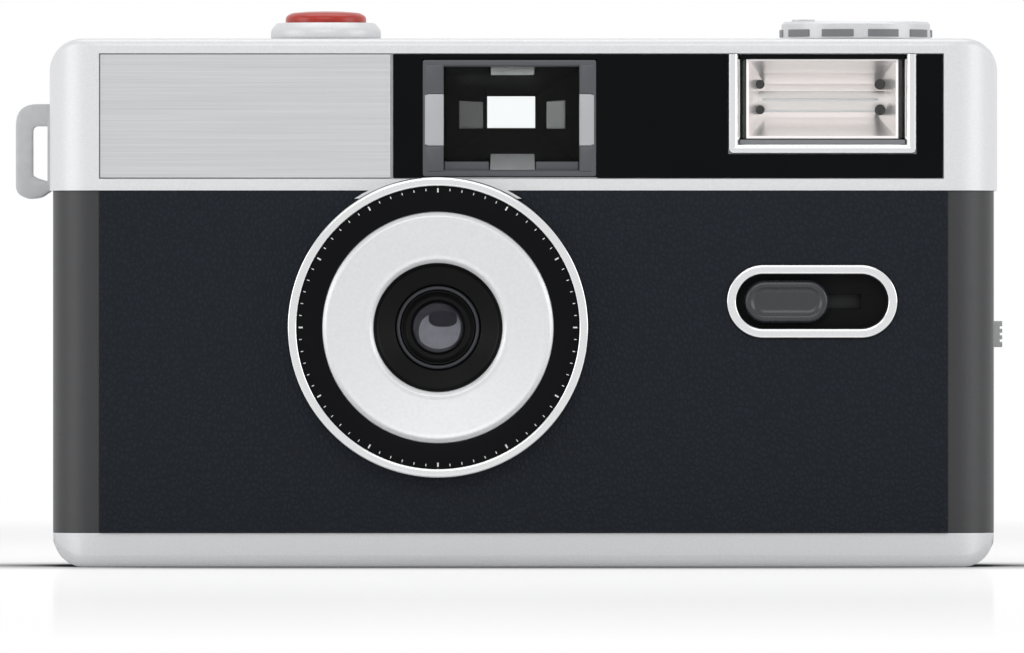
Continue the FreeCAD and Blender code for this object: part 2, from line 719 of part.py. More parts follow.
def make_top_cover():
    """Painted top cover with rounded ends, a collar over the lens and a skirt at the back."""
    body = piece("top_cover")
    low, high = "cover_bottom", "body_height"
    pad(body, "XZ", "cover_front", "cover_rear", polygon(
        ("-half_width", low),
        ("half_width", low),
        ("half_width", high, "end_corner"),
        ("-half_width", high, "end_corner"),
    ))
    pocket(body, "XY", low, high,
           rectangle("-half_width - 9", "half_width + 9", "cover_front - 9", "cover_rear + 9"),
           plan("half_width", "cover_front", "cover_rear", "front_corner", "rear_corner"))
    soften(body, "Fillet", "edge_round",
           lambda spot, way: at(spot.z, high) and at(abs(spot.y), "cover_rear"))
    # Hollow, with a narrower crown under the rounded ends
    for half, level, ends in (("half_width - cover_wall", "body_height - end_corner", "cover_wall"),
                              ("half_width - cover_wall - 1.9", "ceiling", "cover_wall + 1.9")):
        pocket(body, "XY", low, level,
               plan(half, "cover_inner_front", "cover_inner_rear",
                    f"front_corner - {ends}", "rear_corner - cover_wall"))
    # The skirt's lower edge steps up over the door
    pocket(body, "XY", low, "skirt_bottom",
           rectangle("-half_width - 1", "half_width + 1", "hinge_y - seam", "cover_rear + 1"))
    pocket(body, "XY", low, "skirt_bottom",
           rectangle("half_width - 9", "half_width + 1", "side_end", "cover_rear + 1"))
    # Collar round the top of the lens ring
    pad(body, "XZ", "cover_front - 0.4", "shell_front", circle(*LENS, "ring_radius + collar_width"))
    pocket(body, "XZ", "cover_front - 1", "shell_front",
           rectangle("lens_x - ring_radius - 2", "lens_x + ring_radius + 2",
                     "lens_z - ring_radius - 2", "cover_bottom - collar_drop"))
    pocket(body, "XZ", "cover_front - 1", "cover_front",
           rectangle("lens_x - ring_radius - 2", "lens_x + ring_radius + 2",
                     "panel_bottom - panel_seam", "lens_z + ring_radius + 2"))
    pocket(body, "XZ", "cover_front - 1", "shell_front", circle(*LENS, "ring_radius + panel_seam"))
    # Recess of the front panels, and the holes behind the viewfinder and the flash
    pocket(body, "XZ", "cover_front", "plate_back",
           rectangle("panel_left - panel_seam", "panel_right + panel_seam",
                     "panel_bottom - panel_seam", "panel_top + panel_seam"))
    pocket(body, "XZ", "plate_back", "cover_inner_front",
           rectangle("finder_left - panel_seam", "finder_right + panel_seam",
                     "finder_bottom - panel_seam", "finder_top + panel_seam"))
    pocket(body, "XZ", "plate_back", "cover_inner_front",
           rectangle("flash_left + 0.9", "flash_right - 0.9",
                     "flash_bottom + 0.9", "panel_top - 0.4"))
    # Openings at the back: eyepiece, ready lamp and thumb wheel
    pocket(body, "XZ", "cover_inner_rear", "cover_rear",
           rectangle("eyepiece_x - eyepiece_width / 2 - 0.05", "eyepiece_x + eyepiece_width / 2 + 0.05",
                     "eyepiece_z - eyepiece_height / 2 - 0.05",
                     "eyepiece_z + eyepiece_height / 2 + 0.05"))
    pocket(body, "XZ", "cover_inner_rear", "cover_rear", circle("lamp_x", "eyepiece_z", "1.25"))
    wheel_half = "sqrt(wheel_radius * wheel_radius - (cover_inner_rear - spool_y)"
    wheel_half += " * (cover_inner_rear - spool_y))"
    pocket(body, "XZ", "cover_inner_rear", "cover_rear",
           rectangle(f"spool_x - {wheel_half} - 0.5", f"spool_x + {wheel_half} + 0.5",
                     "wheel_bottom - 0.4", "wheel_top + 0.4"))
    # Holes in the crown: button stem, rewind shaft and counter window
    pocket(body, "XY", "ceiling", high, circle(*BUTTON, "stem_radius + running_gap"))
    pocket(body, "XY", "ceiling", high, circle(*REWIND, "fork_radius + running_gap"))
    pocket(body, "XY", "ceiling", high, circle(*WINDOW, "2.05"))


def make_base_cover():
    """Painted base tray with rounded lower ends and the mouth of the battery bay."""
    body = piece("base_cover")
    pad(body, "XZ", "shell_front", "shell_back", polygon(
        ("-shell_half", "0", "base_corner"),
        ("shell_half", "0", "base_corner"),
        ("shell_half", "base_height"),
        ("-shell_half", "base_height"),
    ))
    pocket(body, "XY", "0", "base_height",
           rectangle("-half_width - 9", "half_width + 9", "cover_front - 9", "cover_rear + 9"),
           plan("shell_half", "shell_front", "shell_back", "shell_corner", "shell_rear_corner"))
    pocket(body, "XY", "base_wall", "base_height",
           plan("shell_half - shell_wall", "inner_front", "shell_back - shell_wall",
                "shell_corner - shell_wall", "shell_rear_corner - shell_wall"))
    # Mouth of the battery bay, with bearings for its door's pivots
    pocket(body, "XY", "0", "base_wall",
           rectangle("battery_x - bay_half_width - slide_gap",
                     "battery_x + bay_half_width + slide_gap",
                     "bay_front - slide_gap", "bay_hinge_y + 1.3"))
    pocket(body, "YZ", "battery_x - bay_half_width - 1", "battery_x + bay_half_width + 1",
           circle("bay_hinge_y", "bay_hinge_z", "0.5 + running_gap"))
    # Well of the rewind release and the counterbored screw holes
    pocket(body, "XY", "0", "base_wall", circle(*RELEASE, "2.4 + slide_gap"))
    for across, depth in SCREWS:
        pocket(body, "XY", "0", "base_wall", circle(across, depth, "screw_radius + running_gap"))
        pocket(body, "XY", "0", "0.9", circle(across, depth, "screw_head + slide_gap"))


def make_case_screws():
    """Four pan-head screws that hold the base to the chassis."""
    body = piece("case_screws")
    for across, depth in SCREWS:
        pad(body, "XY", "0.2", "0.9", circle(across, depth, "screw_head"))
        pad(body, "XY", "0.9", "base_wall + 4", circle(across, depth, "screw_radius"))
        pocket(body, "XY", "0.2", "0.5",
               rectangle(f"{across} - 1.2", f"{across} + 1.2", f"{depth} - 0.2", f"{depth} + 0.2"))


def make_back_door():
    """Hinged back with a lip at the latch end, light ribs and its own knuckle."""
    body = piece("back_door")
    low, high = "door_bottom", "door_top"
    left = "hinge_x + knuckle_radius + seam"
    pad(body, "XY", low, high, polygon(
        (left, "door_inner"),
        ("shell_half - shell_wall", "door_inner"),
        ("shell_half - shell_wall", "lip_front"),
        ("shell_half", "lip_front"),
        ("shell_half", "shell_back", "shell_rear_corner"),
        (left, "shell_back"),
    ))
    pad(body, "XY", "knuckle_low", "knuckle_high",
        rectangle("hinge_x", "hinge_x + knuckle_radius + 1", "door_inner", "shell_back"))
    pad(body, "XY", "knuckle_low", "knuckle_high", circle(*HINGE, "knuckle_radius"))
    pocket(body, "XY", "knuckle_low", "knuckle_high", circle(*HINGE, "pin_radius + running_gap"))
    for level in ("chamber_bottom + 1", "chamber_top - 2"):
        pad(body, "XY", level, f"{level} + 1",
            rectangle("hinge_x + 6", "shell_half - shell_wall", "chassis_rear + seam", "door_inner"))
    # Window over the cassette
    pocket(body, "XZ", "door_inner", "shell_back", slot_upright("0.05"))


def slot_upright(margin):
    """Outline of the cassette window with a margin round it."""
    return rectangle(f"rewind_x - 3.6 - {margin}", f"rewind_x + 3.6 + {margin}",
                     f"lens_z - 12 - {margin}", f"lens_z + 12 + {margin}", f"1.6 + {margin}")


def make_door_catch():
    """Catch on the door's lip, which the latch's hook comes up to."""
    body = piece("door_catch")
    pad(body, "XY", "latch_z + 8", "latch_z + 9.2",
        rectangle("latch_inner - 0.8", "shell_half - shell_wall", "lip_front", "lip_front + 1.8"))


def make_film_window():
    """Clear window in the door, to see whether a cassette is loaded."""
    body = piece("film_window")
    pad(body, "XZ", "door_inner", "shell_back", slot_upright("0"))


def make_door_leatherette():
    """Textured covering of the door."""
    body = piece("door_leatherette")
    pad(body, "XZ", "shell_back", "shell_back + leather_thickness",
        rectangle("hinge_x + 3.6", "shell_half - 5", "door_bottom + 1.6", "door_top - 1.6", "2"))
    pocket(body, "XZ", "shell_back", "shell_back + leather_thickness", slot_upright("0.8"))


def make_door_hinge_pin():
    """Steel pin through the knuckles of the door's hinge."""
    body = piece("door_hinge_pin")
    pad(body, "XY", "door_bottom + 0.2", "cover_bottom - seam - 0.2", circle(*HINGE, "pin_radius"))


def make_door_latch():
    """Sliding door latch: a ribbed thumb nub outside and a hooked bar inside."""
    body = piece("door_latch")
    inner = "latch_inner"
    pad(body, "YZ", "shell_half + slide_gap", "half_width + 0.9",
        rectangle("latch_y - 2.5", "latch_y + 2.5", "latch_z - 1.6", "latch_z + 1.6", "0.6"))
    pad(body, "YZ", inner, "shell_half + slide_gap",
        rectangle("latch_y - 1.2", "latch_y + 1.2", "latch_z - 1", "latch_z + 1"))
    pad(body, "YZ", f"{inner} - 0.8", inner, polygon(
        ("latch_y - 2", "latch_z - 2"),
        ("latch_y + 2", "latch_z - 2"),
        ("latch_y + 5.6", "latch_z + 1.6"),
        ("latch_y + 5.6", "latch_z + 4.4"),
        ("latch_y + 4.2", "latch_z + 4.4"),
        ("latch_y + 4.2", "latch_z + 2.6"),
        ("latch_y - 2", "latch_z + 2.6"),
    ))
    for step in ("-0.8", "0", "0.8"):
        pocket(body, "YZ", "half_width + 0.6", "half_width + 0.9",
               rectangle("latch_y - 3", "latch_y + 3",
                         f"latch_z + {step} - 0.15", f"latch_z + {step} + 0.15"))


def make_latch_spring():
    """Small coil spring that pushes the latch down again."""
    body = piece("latch_spring")
    coil(body, ("latch_inner - 0.4", "latch_y"), "0.34", "latch_z + 2.7", "latch_z + 9.6", 5)


def make_pressure_plate():
    """Plate that holds the film flat against the gate."""
    body = piece("pressure_plate")
    pad(body, "XZ", "film_plane + 0.2", "plate_rear",
        rectangle("gate_left - 2", "gate_right + 2", "lens_z - 14.5", "sprocket_bottom - 0.5", "1"))


def make_pressure_spring():
    """Leaf spring between the door and the pressure plate."""
    body = piece("pressure_spring")
    pad(body, "XZ", "plate_rear + 0.45", "door_inner",
        rectangle("lens_x - 11", "lens_x + 11", "lens_z - 4", "lens_z + 4", "1"))
    for side in ("-7", "7"):
        pocket(body, "XZ", "plate_rear + 0.45", "door_inner",
               rectangle(f"lens_x + {side} - 2.6", f"lens_x + {side} + 2.6",
                         "lens_z - 2.2", "lens_z + 2.2", "0.6"))


def make_front_plate():
    """Brushed plate at the left of the top cover's front."""
    body = piece("front_plate")
    pad(body, "XZ", "plate_front", "plate_back",
        rectangle("panel_left", "panel_split - 0.15", "panel_bottom", "panel_top"))


def make_flash_panel():
    """Gloss panel round the viewfinder and the flash, open below the one and above the other."""
    body = piece("flash_panel")
    pad(body, "XZ", "plate_front", "plate_back",
        rectangle("panel_split + 0.15", "panel_right", "panel_bottom", "panel_top"))
    pocket(body, "XZ", "plate_front", "plate_back",
           rectangle("finder_left - panel_seam", "finder_right + panel_seam",
                     "panel_bottom", "finder_top + panel_seam"))
    pocket(body, "XZ", "plate_front", "plate_back",
           rectangle("flash_left - panel_seam", "flash_right + panel_seam",
                     "flash_bottom - panel_seam", "panel_top"))


def make_viewfinder_window():
    """Clear window of the viewfinder with a raised frame."""
    body = piece("viewfinder_window")
    pad(body, "XZ", "plate_front", "cover_inner_front",
        rectangle("finder_left", "finder_right", "finder_bottom", "finder_top"))
    pocket(body, "XZ", "plate_front", "plate_front + 0.35",
           rectangle("finder_left + finder_border", "finder_right - finder_border",
                     "finder_bottom + 0.8", "finder_top - 0.8", "0.4"))


def make_viewfinder_tunnel():
    """Dark tunnel that narrows from the front window to the eyepiece."""
    body = piece("viewfinder_tunnel")
    def mouth(margin):
        return (f"finder_left - ({margin})", f"finder_right + ({margin})",
                f"finder_bottom - ({margin})", f"finder_top + ({margin})")
    def neck(margin):
        return around("eyepiece_x", "eyepiece_z", f"eyepiece_width / 2 + ({margin})",
                      f"eyepiece_height / 2 + ({margin})")
    front, bend, back = "cover_inner_front + 0.05", "chassis_front - 1.5", "cover_inner_rear - 0.05"
    pad(body, "XZ", front, bend, rectangle(*mouth("tunnel_wall")))
    wedge(body, "Additive", bend, mouth("tunnel_wall"), back, neck("tunnel_wall"))
    pocket(body, "XZ", front, bend, rectangle(*mouth("0")))
    wedge(body, "Subtractive", bend, mouth("0"), back, neck("0"))


def make_viewfinder_lenses():
    """Diverging front lens of the viewfinder, and its eyepiece in the back of the top cover."""
    body = piece("viewfinder_lenses")
    front, back = "cover_inner_front + 0.8", "cover_inner_front + 2.8"
    pad(body, "XZ", front, back,
        rectangle("finder_left + 0.05", "finder_right - 0.05",
                  "finder_bottom + 0.05", "finder_top - 0.05"))
    middle = ("(finder_left + finder_right) / 2", "(finder_bottom + finder_top) / 2")
    groove(body, "Y", middle, polygon(
        (back, "0"), (f"{back} + 0.1", "6.2"), (back, "6.2"), (f"{back} - 0.5", "5"),
        (f"{back} - 1", "3"), (f"{back} - 1.2", "0")))
    pad(body, "XZ", "cover_inner_rear - 0.05", "cover_rear - 0.4",
        rectangle(*around("eyepiece_x", "eyepiece_z", "eyepiece_width / 2", "eyepiece_height / 2"),
                  "0.3"))


def make_flash_bezel():
    """Chrome frame of the flash, open at its top, with bevelled inner edges."""
    body = piece("flash_bezel")
    front, back = "cover_front - flash_reach", "plate_back"
    pad(body, "XZ", front, back,
        rectangle("flash_left", "flash_right", "flash_bottom", "panel_top"))
    wedge(body, "Subtractive",
          front, ("flash_left + 0.7", "flash_right - 0.7", "flash_bottom + 0.7", "panel_top + 1"),
          back, ("flash_left + flash_frame + 0.3", "flash_right - flash_frame - 0.3",
                 "flash_bottom + flash_frame + 0.3", "panel_top + 1"))


def make_flash_lens():
    """Clear flash lens, with prisms moulded across its inner face."""
    body = piece("flash_lens")
    front, back = "cover_front + 0.1", "cover_inner_front"
    left, right = "flash_left + flash_frame + 0.5", "flash_right - flash_frame - 0.5"
    low, high = "flash_bottom + flash_frame + 0.5", "panel_top - 0.6"
    pad(body, "XZ", front, back, rectangle(left, right, low, high, "0.5"))
    ridges = 9
    for count in range(ridges):
        middle = f"{low} + ({high} - ({low})) * {(count + 0.5) / ridges:.4f}"
        pocket(body, "YZ", f"{left} + 0.6", f"{right} - 0.6", polygon(
            (f"{back} - 0.45", middle), (back, f"{middle} + 0.42"), (back, f"{middle} - 0.42")))


def make_flash_reflector():
    """Bright trough behind the flash lens, with flared ends that hold the tube."""
    body = piece("flash_reflector")
    front, waist, back = "cover_inner_front + 0.1", "reflector_rear - 2.6", "reflector_rear"
    def opening(side, low, high, margin):
        return (f"flash_left + {side} - ({margin})", f"flash_right - {side} + ({margin})",
                f"{low} - ({margin})", f"{high} + ({margin})")
    def mouth(margin):
        return opening("2.6", "chassis_top + 0.6", "panel_top - 1.2", margin)
    def middle(margin):
        return opening("4", "tube_z - 3.6", "tube_z + 3.6", margin)
    def floor(margin):
        return opening("5", "tube_z - 1.9", "tube_z + 1.9", margin)
    wedge(body, "Additive", front, mouth("reflector_wall"), waist, middle("reflector_wall"))
    wedge(body, "Additive", waist, middle("reflector_wall"), back, floor("0.1"))
    wedge(body, "Subtractive", front, mouth("0"), waist, middle("0"))
    wedge(body, "Subtractive", waist, middle("0"), f"{back} - reflector_wall", floor("-0.2"))
    pocket(body, "YZ", "flash_left + 1", "flash_right - 1", circle("tube_y", "tube_z", "tube_radius + 0.1"))


def make_flash_tube():
    """Glass flash tube, its metal ends passing through the reflector."""
    body = piece("flash_tube")
    pad(body, "YZ", "flash_left + 2.2", "flash_right - 2.2", circle("tube_y", "tube_z", "tube_radius"))
    for low, high in (("flash_left + 0.8", "flash_left + 2.2"), ("flash_right - 2.2", "flash_right - 0.8")):
        pad(body, "YZ", low, high, circle("tube_y", "tube_z", "0.45"))


def make_flash_board():
    """Circuit board of the flash, standing on the chassis behind the reflector."""
    body = piece("flash_board")
    pad(body, "XZ", "reflector_rear + 1.2", "reflector_rear + 2.4",
        rectangle("finder_right + 2", "rewind_x - 5", "chassis_top", "ceiling - 1"))
    pad(body, "XZ", "reflector_rear + 2.4", "reflector_rear + 6.5",
        rectangle("battery_x + 5.4", "battery_x + 12", "chassis_top + 1", "chassis_top + 7"))


def make_flash_capacitor():
    """Flash capacitor: a can with a rolled rim."""
    body = piece("flash_capacitor")
    pad(body, "XY", "capacitor_bottom", "chassis_top + 2",
        circle("battery_x", "capacitor_y", "capacitor_radius"))
    groove(body, "Z", ("battery_x", "capacitor_y"), polygon(
        ("capacitor_radius - 0.4", "chassis_top"), ("capacitor_radius + 1", "chassis_top - 0.6"),
        ("capacitor_radius + 1", "chassis_top + 0.6")))


def make_ready_lamp():
    """Ready lamp of the flash, seen beside the eyepiece."""
    body = piece("ready_lamp")
    revolve(body, "Y", ("lamp_x", "eyepiece_z"), polygon(
        ("cover_inner_rear - 2.4", "0"), ("cover_inner_rear - 2.4", "1.7"),
        ("cover_inner_rear", "1.7"), ("cover_inner_rear", "1.2"), ("cover_rear - 0.2", "1.2"),
        ("cover_rear + 0.1", "0.7"), ("cover_rear + 0.15", "0")))


def make_flash_switch_bezel():
    """Chrome ring round the flash switch."""
    body = piece("flash_switch_bezel")
    pad(body, "XZ", "shell_front - 0.9", "shell_front",
        slot("switch_left", "switch_right", "switch_low", "switch_high"))
    pocket(body, "XZ", "shell_front - 0.9", "shell_front",
           slot("track_left", "track_right", "track_low", "track_high"))
    soften(body, "Chamfer", "0.25", lambda spot, way: at(spot.y, "shell_front - 0.9"))


def make_flash_switch():
    """Sliding flash switch with a dished top and a clip behind the front shell."""
    body = piece("flash_switch")
    low, high = "switch_z - slider_height / 2", "switch_z + slider_height / 2"
    pad(body, "XZ", "shell_front - 0.8", "track_floor - slide_gap",
        slot("slider_left", "slider_right", low, high))
    pocket(body, "XZ", "shell_front - 0.8", "shell_front - 0.3",
           slot("slider_left + 1.6", "slider_right - 1.6", f"{low} + 0.9", f"{high} - 0.9"))
    pad(body, "XZ", "track_floor - slide_gap", "inner_front + slide_gap",
        rectangle("shank_left", "shank_right", "switch_z - 0.7", "switch_z + 0.7"))
    pad(body, "XZ", "inner_front + slide_gap", "inner_front + 0.55",
        rectangle("shank_left", "shank_right", "switch_z - 1.8", "switch_z + 1.6"))


def make_brass_contacts():
    """Contact of the flash switch inside the front shell, and the one at the battery bay's top."""
    body = piece("brass_contacts")
    pad(body, "XZ", "inner_front", "inner_front + 0.3",
        rectangle("shank_left", "shank_right + slider_travel", "switch_z + 2", "switch_z + 3.4", "0.3"))
    pad(body, "XY", "battery_top - 0.4", "battery_top", circle(*BATTERY, "battery_radius - 0.6"))
    pad(body, "XY", "battery_top - 0.9", "battery_top - 0.4", circle(*BATTERY, "1.8"))


def make_lens_ring():
    """Chrome ring of the lens, stepped to seat the name ring."""
    body = piece("lens_ring")
    back, seat = "shell_front", "ring_front + 1.7"
    revolve(body, "Y", LENS, polygon(
        ("ring_front", "ring_radius - 0.35"), ("ring_front + 0.35", "ring_radius"),
        (back, "ring_radius"), (back, "barrel_radius + 3"), (seat, "barrel_radius + 3"),
        (seat, "ring_inner"), ("ring_front", "ring_inner")))


def make_name_ring():
    """Dark ring inside the chrome one, left bare."""
    body = piece("name_ring")
    revolve(body, "Y", LENS, polygon(
        ("ring_front + 0.7", "trim_outer + 0.05"), ("ring_front + 0.7", "ring_inner - 0.05"),
        ("ring_front + 1.7", "ring_inner - 0.05"), ("ring_front + 1.7", "trim_outer + 0.05")))


def make_lens_trim_ring():
    """Pale dished ring between the name ring and the lens recess."""
    body = piece("lens_trim_ring")
    revolve(body, "Y", LENS, polygon(
        ("ring_front + 0.4", "trim_outer - 0.5"), ("ring_front + 0.7", "trim_outer"),
        ("ring_front + 1.7", "trim_outer"), ("ring_front + 1.7", "barrel_radius + 0.05"),
        ("ring_front + 2.2", "barrel_radius + 0.05"), ("ring_front + 2.2", "trim_inner"),
        ("ring_front + 1.4", "trim_inner"), ("ring_front + 1.1", "trim_inner + 0.5"),
        ("ring_front + 0.65", "trim_outer - 0.7")))


def make_lens_barrel():
    """Lens barrel through the front shell."""
    body = piece("lens_barrel")
    front, back = "ring_front + 2.25", "barrel_rear"
    revolve(body, "Y", LENS, polygon(
        (front, "trim_inner"), (front, "barrel_radius"), ("shell_front", "barrel_radius"),
        (f"{back} - 2", "barrel_radius"), (back, "barrel_radius - 2"), (back, "glass_radius"),
        (f"{back} - 2.4", "glass_radius"), (f"{back} - 2.4", "trim_inner")))


def make_lens_hood():
    """Stepped dark funnel round the front lens."""
    body = piece("lens_hood")
    front, back = "ring_front + 2", "barrel_rear - 2.45"
    revolve(body, "Y", LENS, polygon(
        (front, "trim_inner - 0.45"), (front, "trim_inner - 0.05"), (back, "trim_inner - 0.05"),
        (back, "glass_radius - 0.6"), (f"{back} - 0.5", "glass_radius - 0.6"),
        (f"{back} - 0.9", "glass_radius + 0.9"), (f"{back} - 1.5", "glass_radius + 0.9"),
        (f"{back} - 1.7", "glass_radius + 2"), (f"{back} - 2.2", "glass_radius + 2")))


def make_lens_glass():
    """The lens's two glasses: a meniscus with its domed side out, and one at the barrel's back."""
    body = piece("lens_glass")
    back = "barrel_rear - 2.35"
    revolve(body, "Y", LENS, polygon(
        (f"{back} - 0.05", "0"), (f"{back} - 0.05", "1.4"), (back, "glass_radius - 0.1"),
        (f"{back} + 0.9", "glass_radius - 0.1"), (f"{back} + 0.7", "1.4"), (f"{back} + 0.6", "0")))
    back = "barrel_rear - 0.1"
    revolve(body, "Y", LENS, polygon(
        (f"{back} - 0.7", "0"), (f"{back} - 0.9", "1.6"), (f"{back} - 1", "glass_radius - 0.05"),
        (back, "glass_radius - 0.05"), (back, "0")))


def make_aperture_plate():
    """Thin stop behind the lens."""
    body = piece("aperture_plate")
    pad(body, "XZ", "barrel_rear", "barrel_rear + 0.25", circle(*LENS, "barrel_radius - 2.4"))
    pocket(body, "XZ", "barrel_rear", "barrel_rear + 0.25", circle(*LENS, "aperture_radius"))


def make_shutter_blade():
    """Single shutter blade on its post, closed over the aperture."""
    body = piece("shutter_blade")
    pad(body, "XZ", "blade_front", "blade_back", circle(*LENS, "aperture_radius + 1"))
    pad(body, "XZ", "blade_front", "blade_back", circle("blade_x", "blade_z", "1.8"))
    pad(body, "XZ", "blade_front", "blade_back", polygon(
        ("lens_x", "lens_z - 1.6"), ("blade_x + 0.5", "blade_z - 1.6"),
        ("blade_x - 0.5", "blade_z + 1.6"), ("lens_x - 0.6", "lens_z + 2.4")))
    pocket(body, "XZ", "blade_front", "blade_back",
           circle("blade_x", "blade_z", "0.8 + running_gap"))


def make_shutter_spring():
    """Wire spring that holds the blade shut, hooked on a nub of the lens board."""
    body = piece("shutter_spring")
    front, back = "blade_front - 0.5", "blade_front - 0.2"
    pad(body, "XZ", front, back,
        circle("blade_x", "blade_z", "1.6"), circle("blade_x", "blade_z", "0.8 + running_gap"))
    pad(body, "XZ", front, back,
        rectangle("blade_x + 1.2", "blade_x + 6.5", "blade_z - 0.15", "blade_z + 0.15"))
    pad(body, "XZ", front, "chassis_front",
        rectangle("blade_x + 6.2", "blade_x + 6.5", "blade_z - 0.15", "blade_z + 0.15"))


def make_release_lever():
    """Lever that carries the button's stroke down to the shutter blade."""
    body = piece("release_lever")
    front, back = "lever_front", "lever_back"
    pad(body, "XZ", front, back, circle("lever_x", "lever_z", "2"))
    pad(body, "XZ", front, back, polygon(
        ("button_x - 1.8", "pad_top - 1"), ("button_x + 1.8", "pad_top - 1"),
        ("lever_x", "lever_z - 1.8"), ("lever_x + 1.4", "lever_z + 1.2"),
        ("button_x + 1.8", "pad_top"), ("button_x - 1.8", "pad_top")))
    pad(body, "XZ", front, back, polygon(
        ("lever_x - 1.2", "lever_z"), ("lever_x - 1.2", "blade_z + 7"),
        ("lever_x + 2", "blade_z + 6"), ("lever_x + 1.8", "lever_z")))
    pad(body, "XY", "pad_top - 0.6", "pad_top",
        rectangle("button_x - 1.8", "button_x + 1.8", back, "button_y + 1.8"))
    pocket(body, "XZ", front, back, circle("lever_x", "lever_z", "1 + running_gap"))


def make_shutter_button():
    """Domed button cap on a long stem."""
    body = piece("shutter_button")
    low = "body_height + button_travel + 0.3"
    revolve(body, "Z", BUTTON, polygon(
        ("0", "pad_top + 0.35"), ("stem_radius - 0.3", "pad_top + 0.35"),
        ("stem_radius", "pad_top + 0.65"), ("stem_radius", f"{low} + 0.7"),
        ("button_radius - 1.1", f"{low} + 0.7"), ("button_radius - 1.1", low),
        ("button_radius - 0.2", low), ("button_radius", f"{low} + 0.2"),
        ("button_radius", "button_top - 1"), ("button_radius - 0.4", "button_top - 0.5"),
        ("button_radius - 1.5", "button_top - 0.15"), ("0", "button_top")))


def make_button_collar():
    """Collar round the button, with a rounded rim."""
    body = piece("button_collar")
    revolve(body, "Z", BUTTON, polygon(
        ("button_radius + 0.2", "body_height"), ("collar_radius", "body_height"),
        ("collar_radius", "collar_top - 1.1"), ("collar_radius - 0.25", "collar_top - 0.4"),
        ("collar_radius - 0.8", "collar_top"), ("button_radius + 0.5", "collar_top"),
        ("button_radius + 0.2", "collar_top - 0.3")))


def make_button_spring():
    """Coil spring under the button cap."""
    body = piece("button_spring")
    coil(body, BUTTON, "button_radius - 2", "body_height", "body_height + button_travel + 1", 3)


def make_counter_dial():
    """Frame counter disc with a toothed rim."""
    body = piece("counter_dial")
    top = "dial_bottom + dial_thickness"
    pad(body, "XY", "dial_bottom", top, circle(*DIAL, "dial_radius"))
    pocket(body, "XY", "dial_bottom", top, circle(*DIAL, "1.2 + running_gap"))
    sketch = sketch_on(body, "XY", "dial_bottom", DIAL)
    polygon(("dial_radius - 0.25", "0"), ("dial_radius + 0.1", "-0.25"),
            ("dial_radius + 0.1", "0.25"))(sketch)
    tooth_gap = body.newObject("PartDesign::Pocket", "counter_dial_gap")
    tooth_gap.Profile = sketch
    tooth_gap.setExpression("Length", bound("dial_thickness"))
    tooth_gap.Reversed = True
    document.recompute()
    repeat_round(body, [tooth_gap], sketch, "N_Axis", "40")


def make_counter_window():
    """Clear window over the counter's numbers."""
    body = piece("counter_window")
    pad(body, "XY", "ceiling", "body_height - 0.2", circle(*WINDOW, "2"))


def make_advance_wheel():
    """Thumb wheel that winds the film on, gripped round its rim."""
    body = piece("advance_wheel")
    pad(body, "XY", "wheel_bottom", "wheel_top", circle(*SPOOL, "wheel_radius"))
    pocket(body, "XY", "wheel_bottom + 1.2", "wheel_top",
           circle(*SPOOL, "wheel_radius - 3"), circle(*SPOOL, "4.4"))
    sketch = sketch_on(body, "XY", "wheel_bottom", SPOOL)
    polygon(("wheel_radius - 0.5", "0"), ("wheel_radius + 0.5", "-0.75"),
            ("wheel_radius + 0.5", "0.75"))(sketch)
    grip = body.newObject("PartDesign::Pocket", "advance_wheel_grip")
    grip.Profile = sketch
    grip.setExpression("Length", bound("wheel_thickness"))
    grip.Reversed = True
    document.recompute()
    repeat_round(body, [grip], sketch, "N_Axis", "wheel_grips")


def make_takeup_spool():
    """Take-up spool with slots for the film's end, turned by the thumb wheel."""
    body = piece("takeup_spool")
    revolve(body, "Z", SPOOL, polygon(
        ("0", "chamber_bottom - 2"), ("2", "chamber_bottom - 2"), ("2", "chamber_bottom + 0.3"),
        ("spool_radius + 1.4", "chamber_bottom + 0.3"), ("spool_radius + 1.4", "chamber_bottom + 1.2"),
        ("spool_radius", "chamber_bottom + 1.2"), ("spool_radius", "chamber_top - 0.3"),
        ("4", "chamber_top - 0.3"), ("4", "wheel_bottom"), ("0", "wheel_bottom")))
    pocket(body, "XY", "chamber_bottom + 6", "chamber_top - 6",
           rectangle("spool_x - 0.7", "spool_x + 0.7", "spool_y - spool_radius - 2", "spool_y - 2.6"),
           rectangle("spool_x - 0.7", "spool_x + 0.7", "spool_y + 2.6", "spool_y + spool_radius + 2"))


def make_sprocket():
    """Sprocket that the film's holes turn, with the counter's one-tooth finger on its shaft."""
    body = piece("sprocket")
    low, high = "sprocket_bottom", "sprocket_top"
    pad(body, "XY", low, high, circle(*SPROCKET, "sprocket_radius"))
    pad(body, "XY", high, "dial_bottom", circle(*SPROCKET, "1.8"))
    pad(body, "XY", "dial_bottom", "dial_bottom + dial_thickness", circle(*SPROCKET, "finger_radius"))
    sketch = sketch_on(body, "XY", f"{low} + 1", SPROCKET)
    polygon(("sprocket_radius - 0.4", "-0.95"), ("sprocket_radius + tooth_height", "-0.4"),
            ("sprocket_radius + tooth_height", "0.4"), ("sprocket_radius - 0.4", "0.95"))(sketch)
    tooth = body.newObject("PartDesign::Pad", "sprocket_tooth")
    tooth.Profile = sketch
    tooth.setExpression("Length", bound("1.2"))
    document.recompute()
    repeat_round(body, [tooth], sketch, "N_Axis", "sprocket_teeth")


def make_rewind_washer():
    """Washer that rides up and down with the rewind shaft."""
    body = piece("rewind_washer")
    pad(body, "XY", "chassis_top + 0.2", "chassis_top + 0.9",
        circle(*REWIND, "4.2"), circle(*REWIND, "fork_radius + running_gap"))


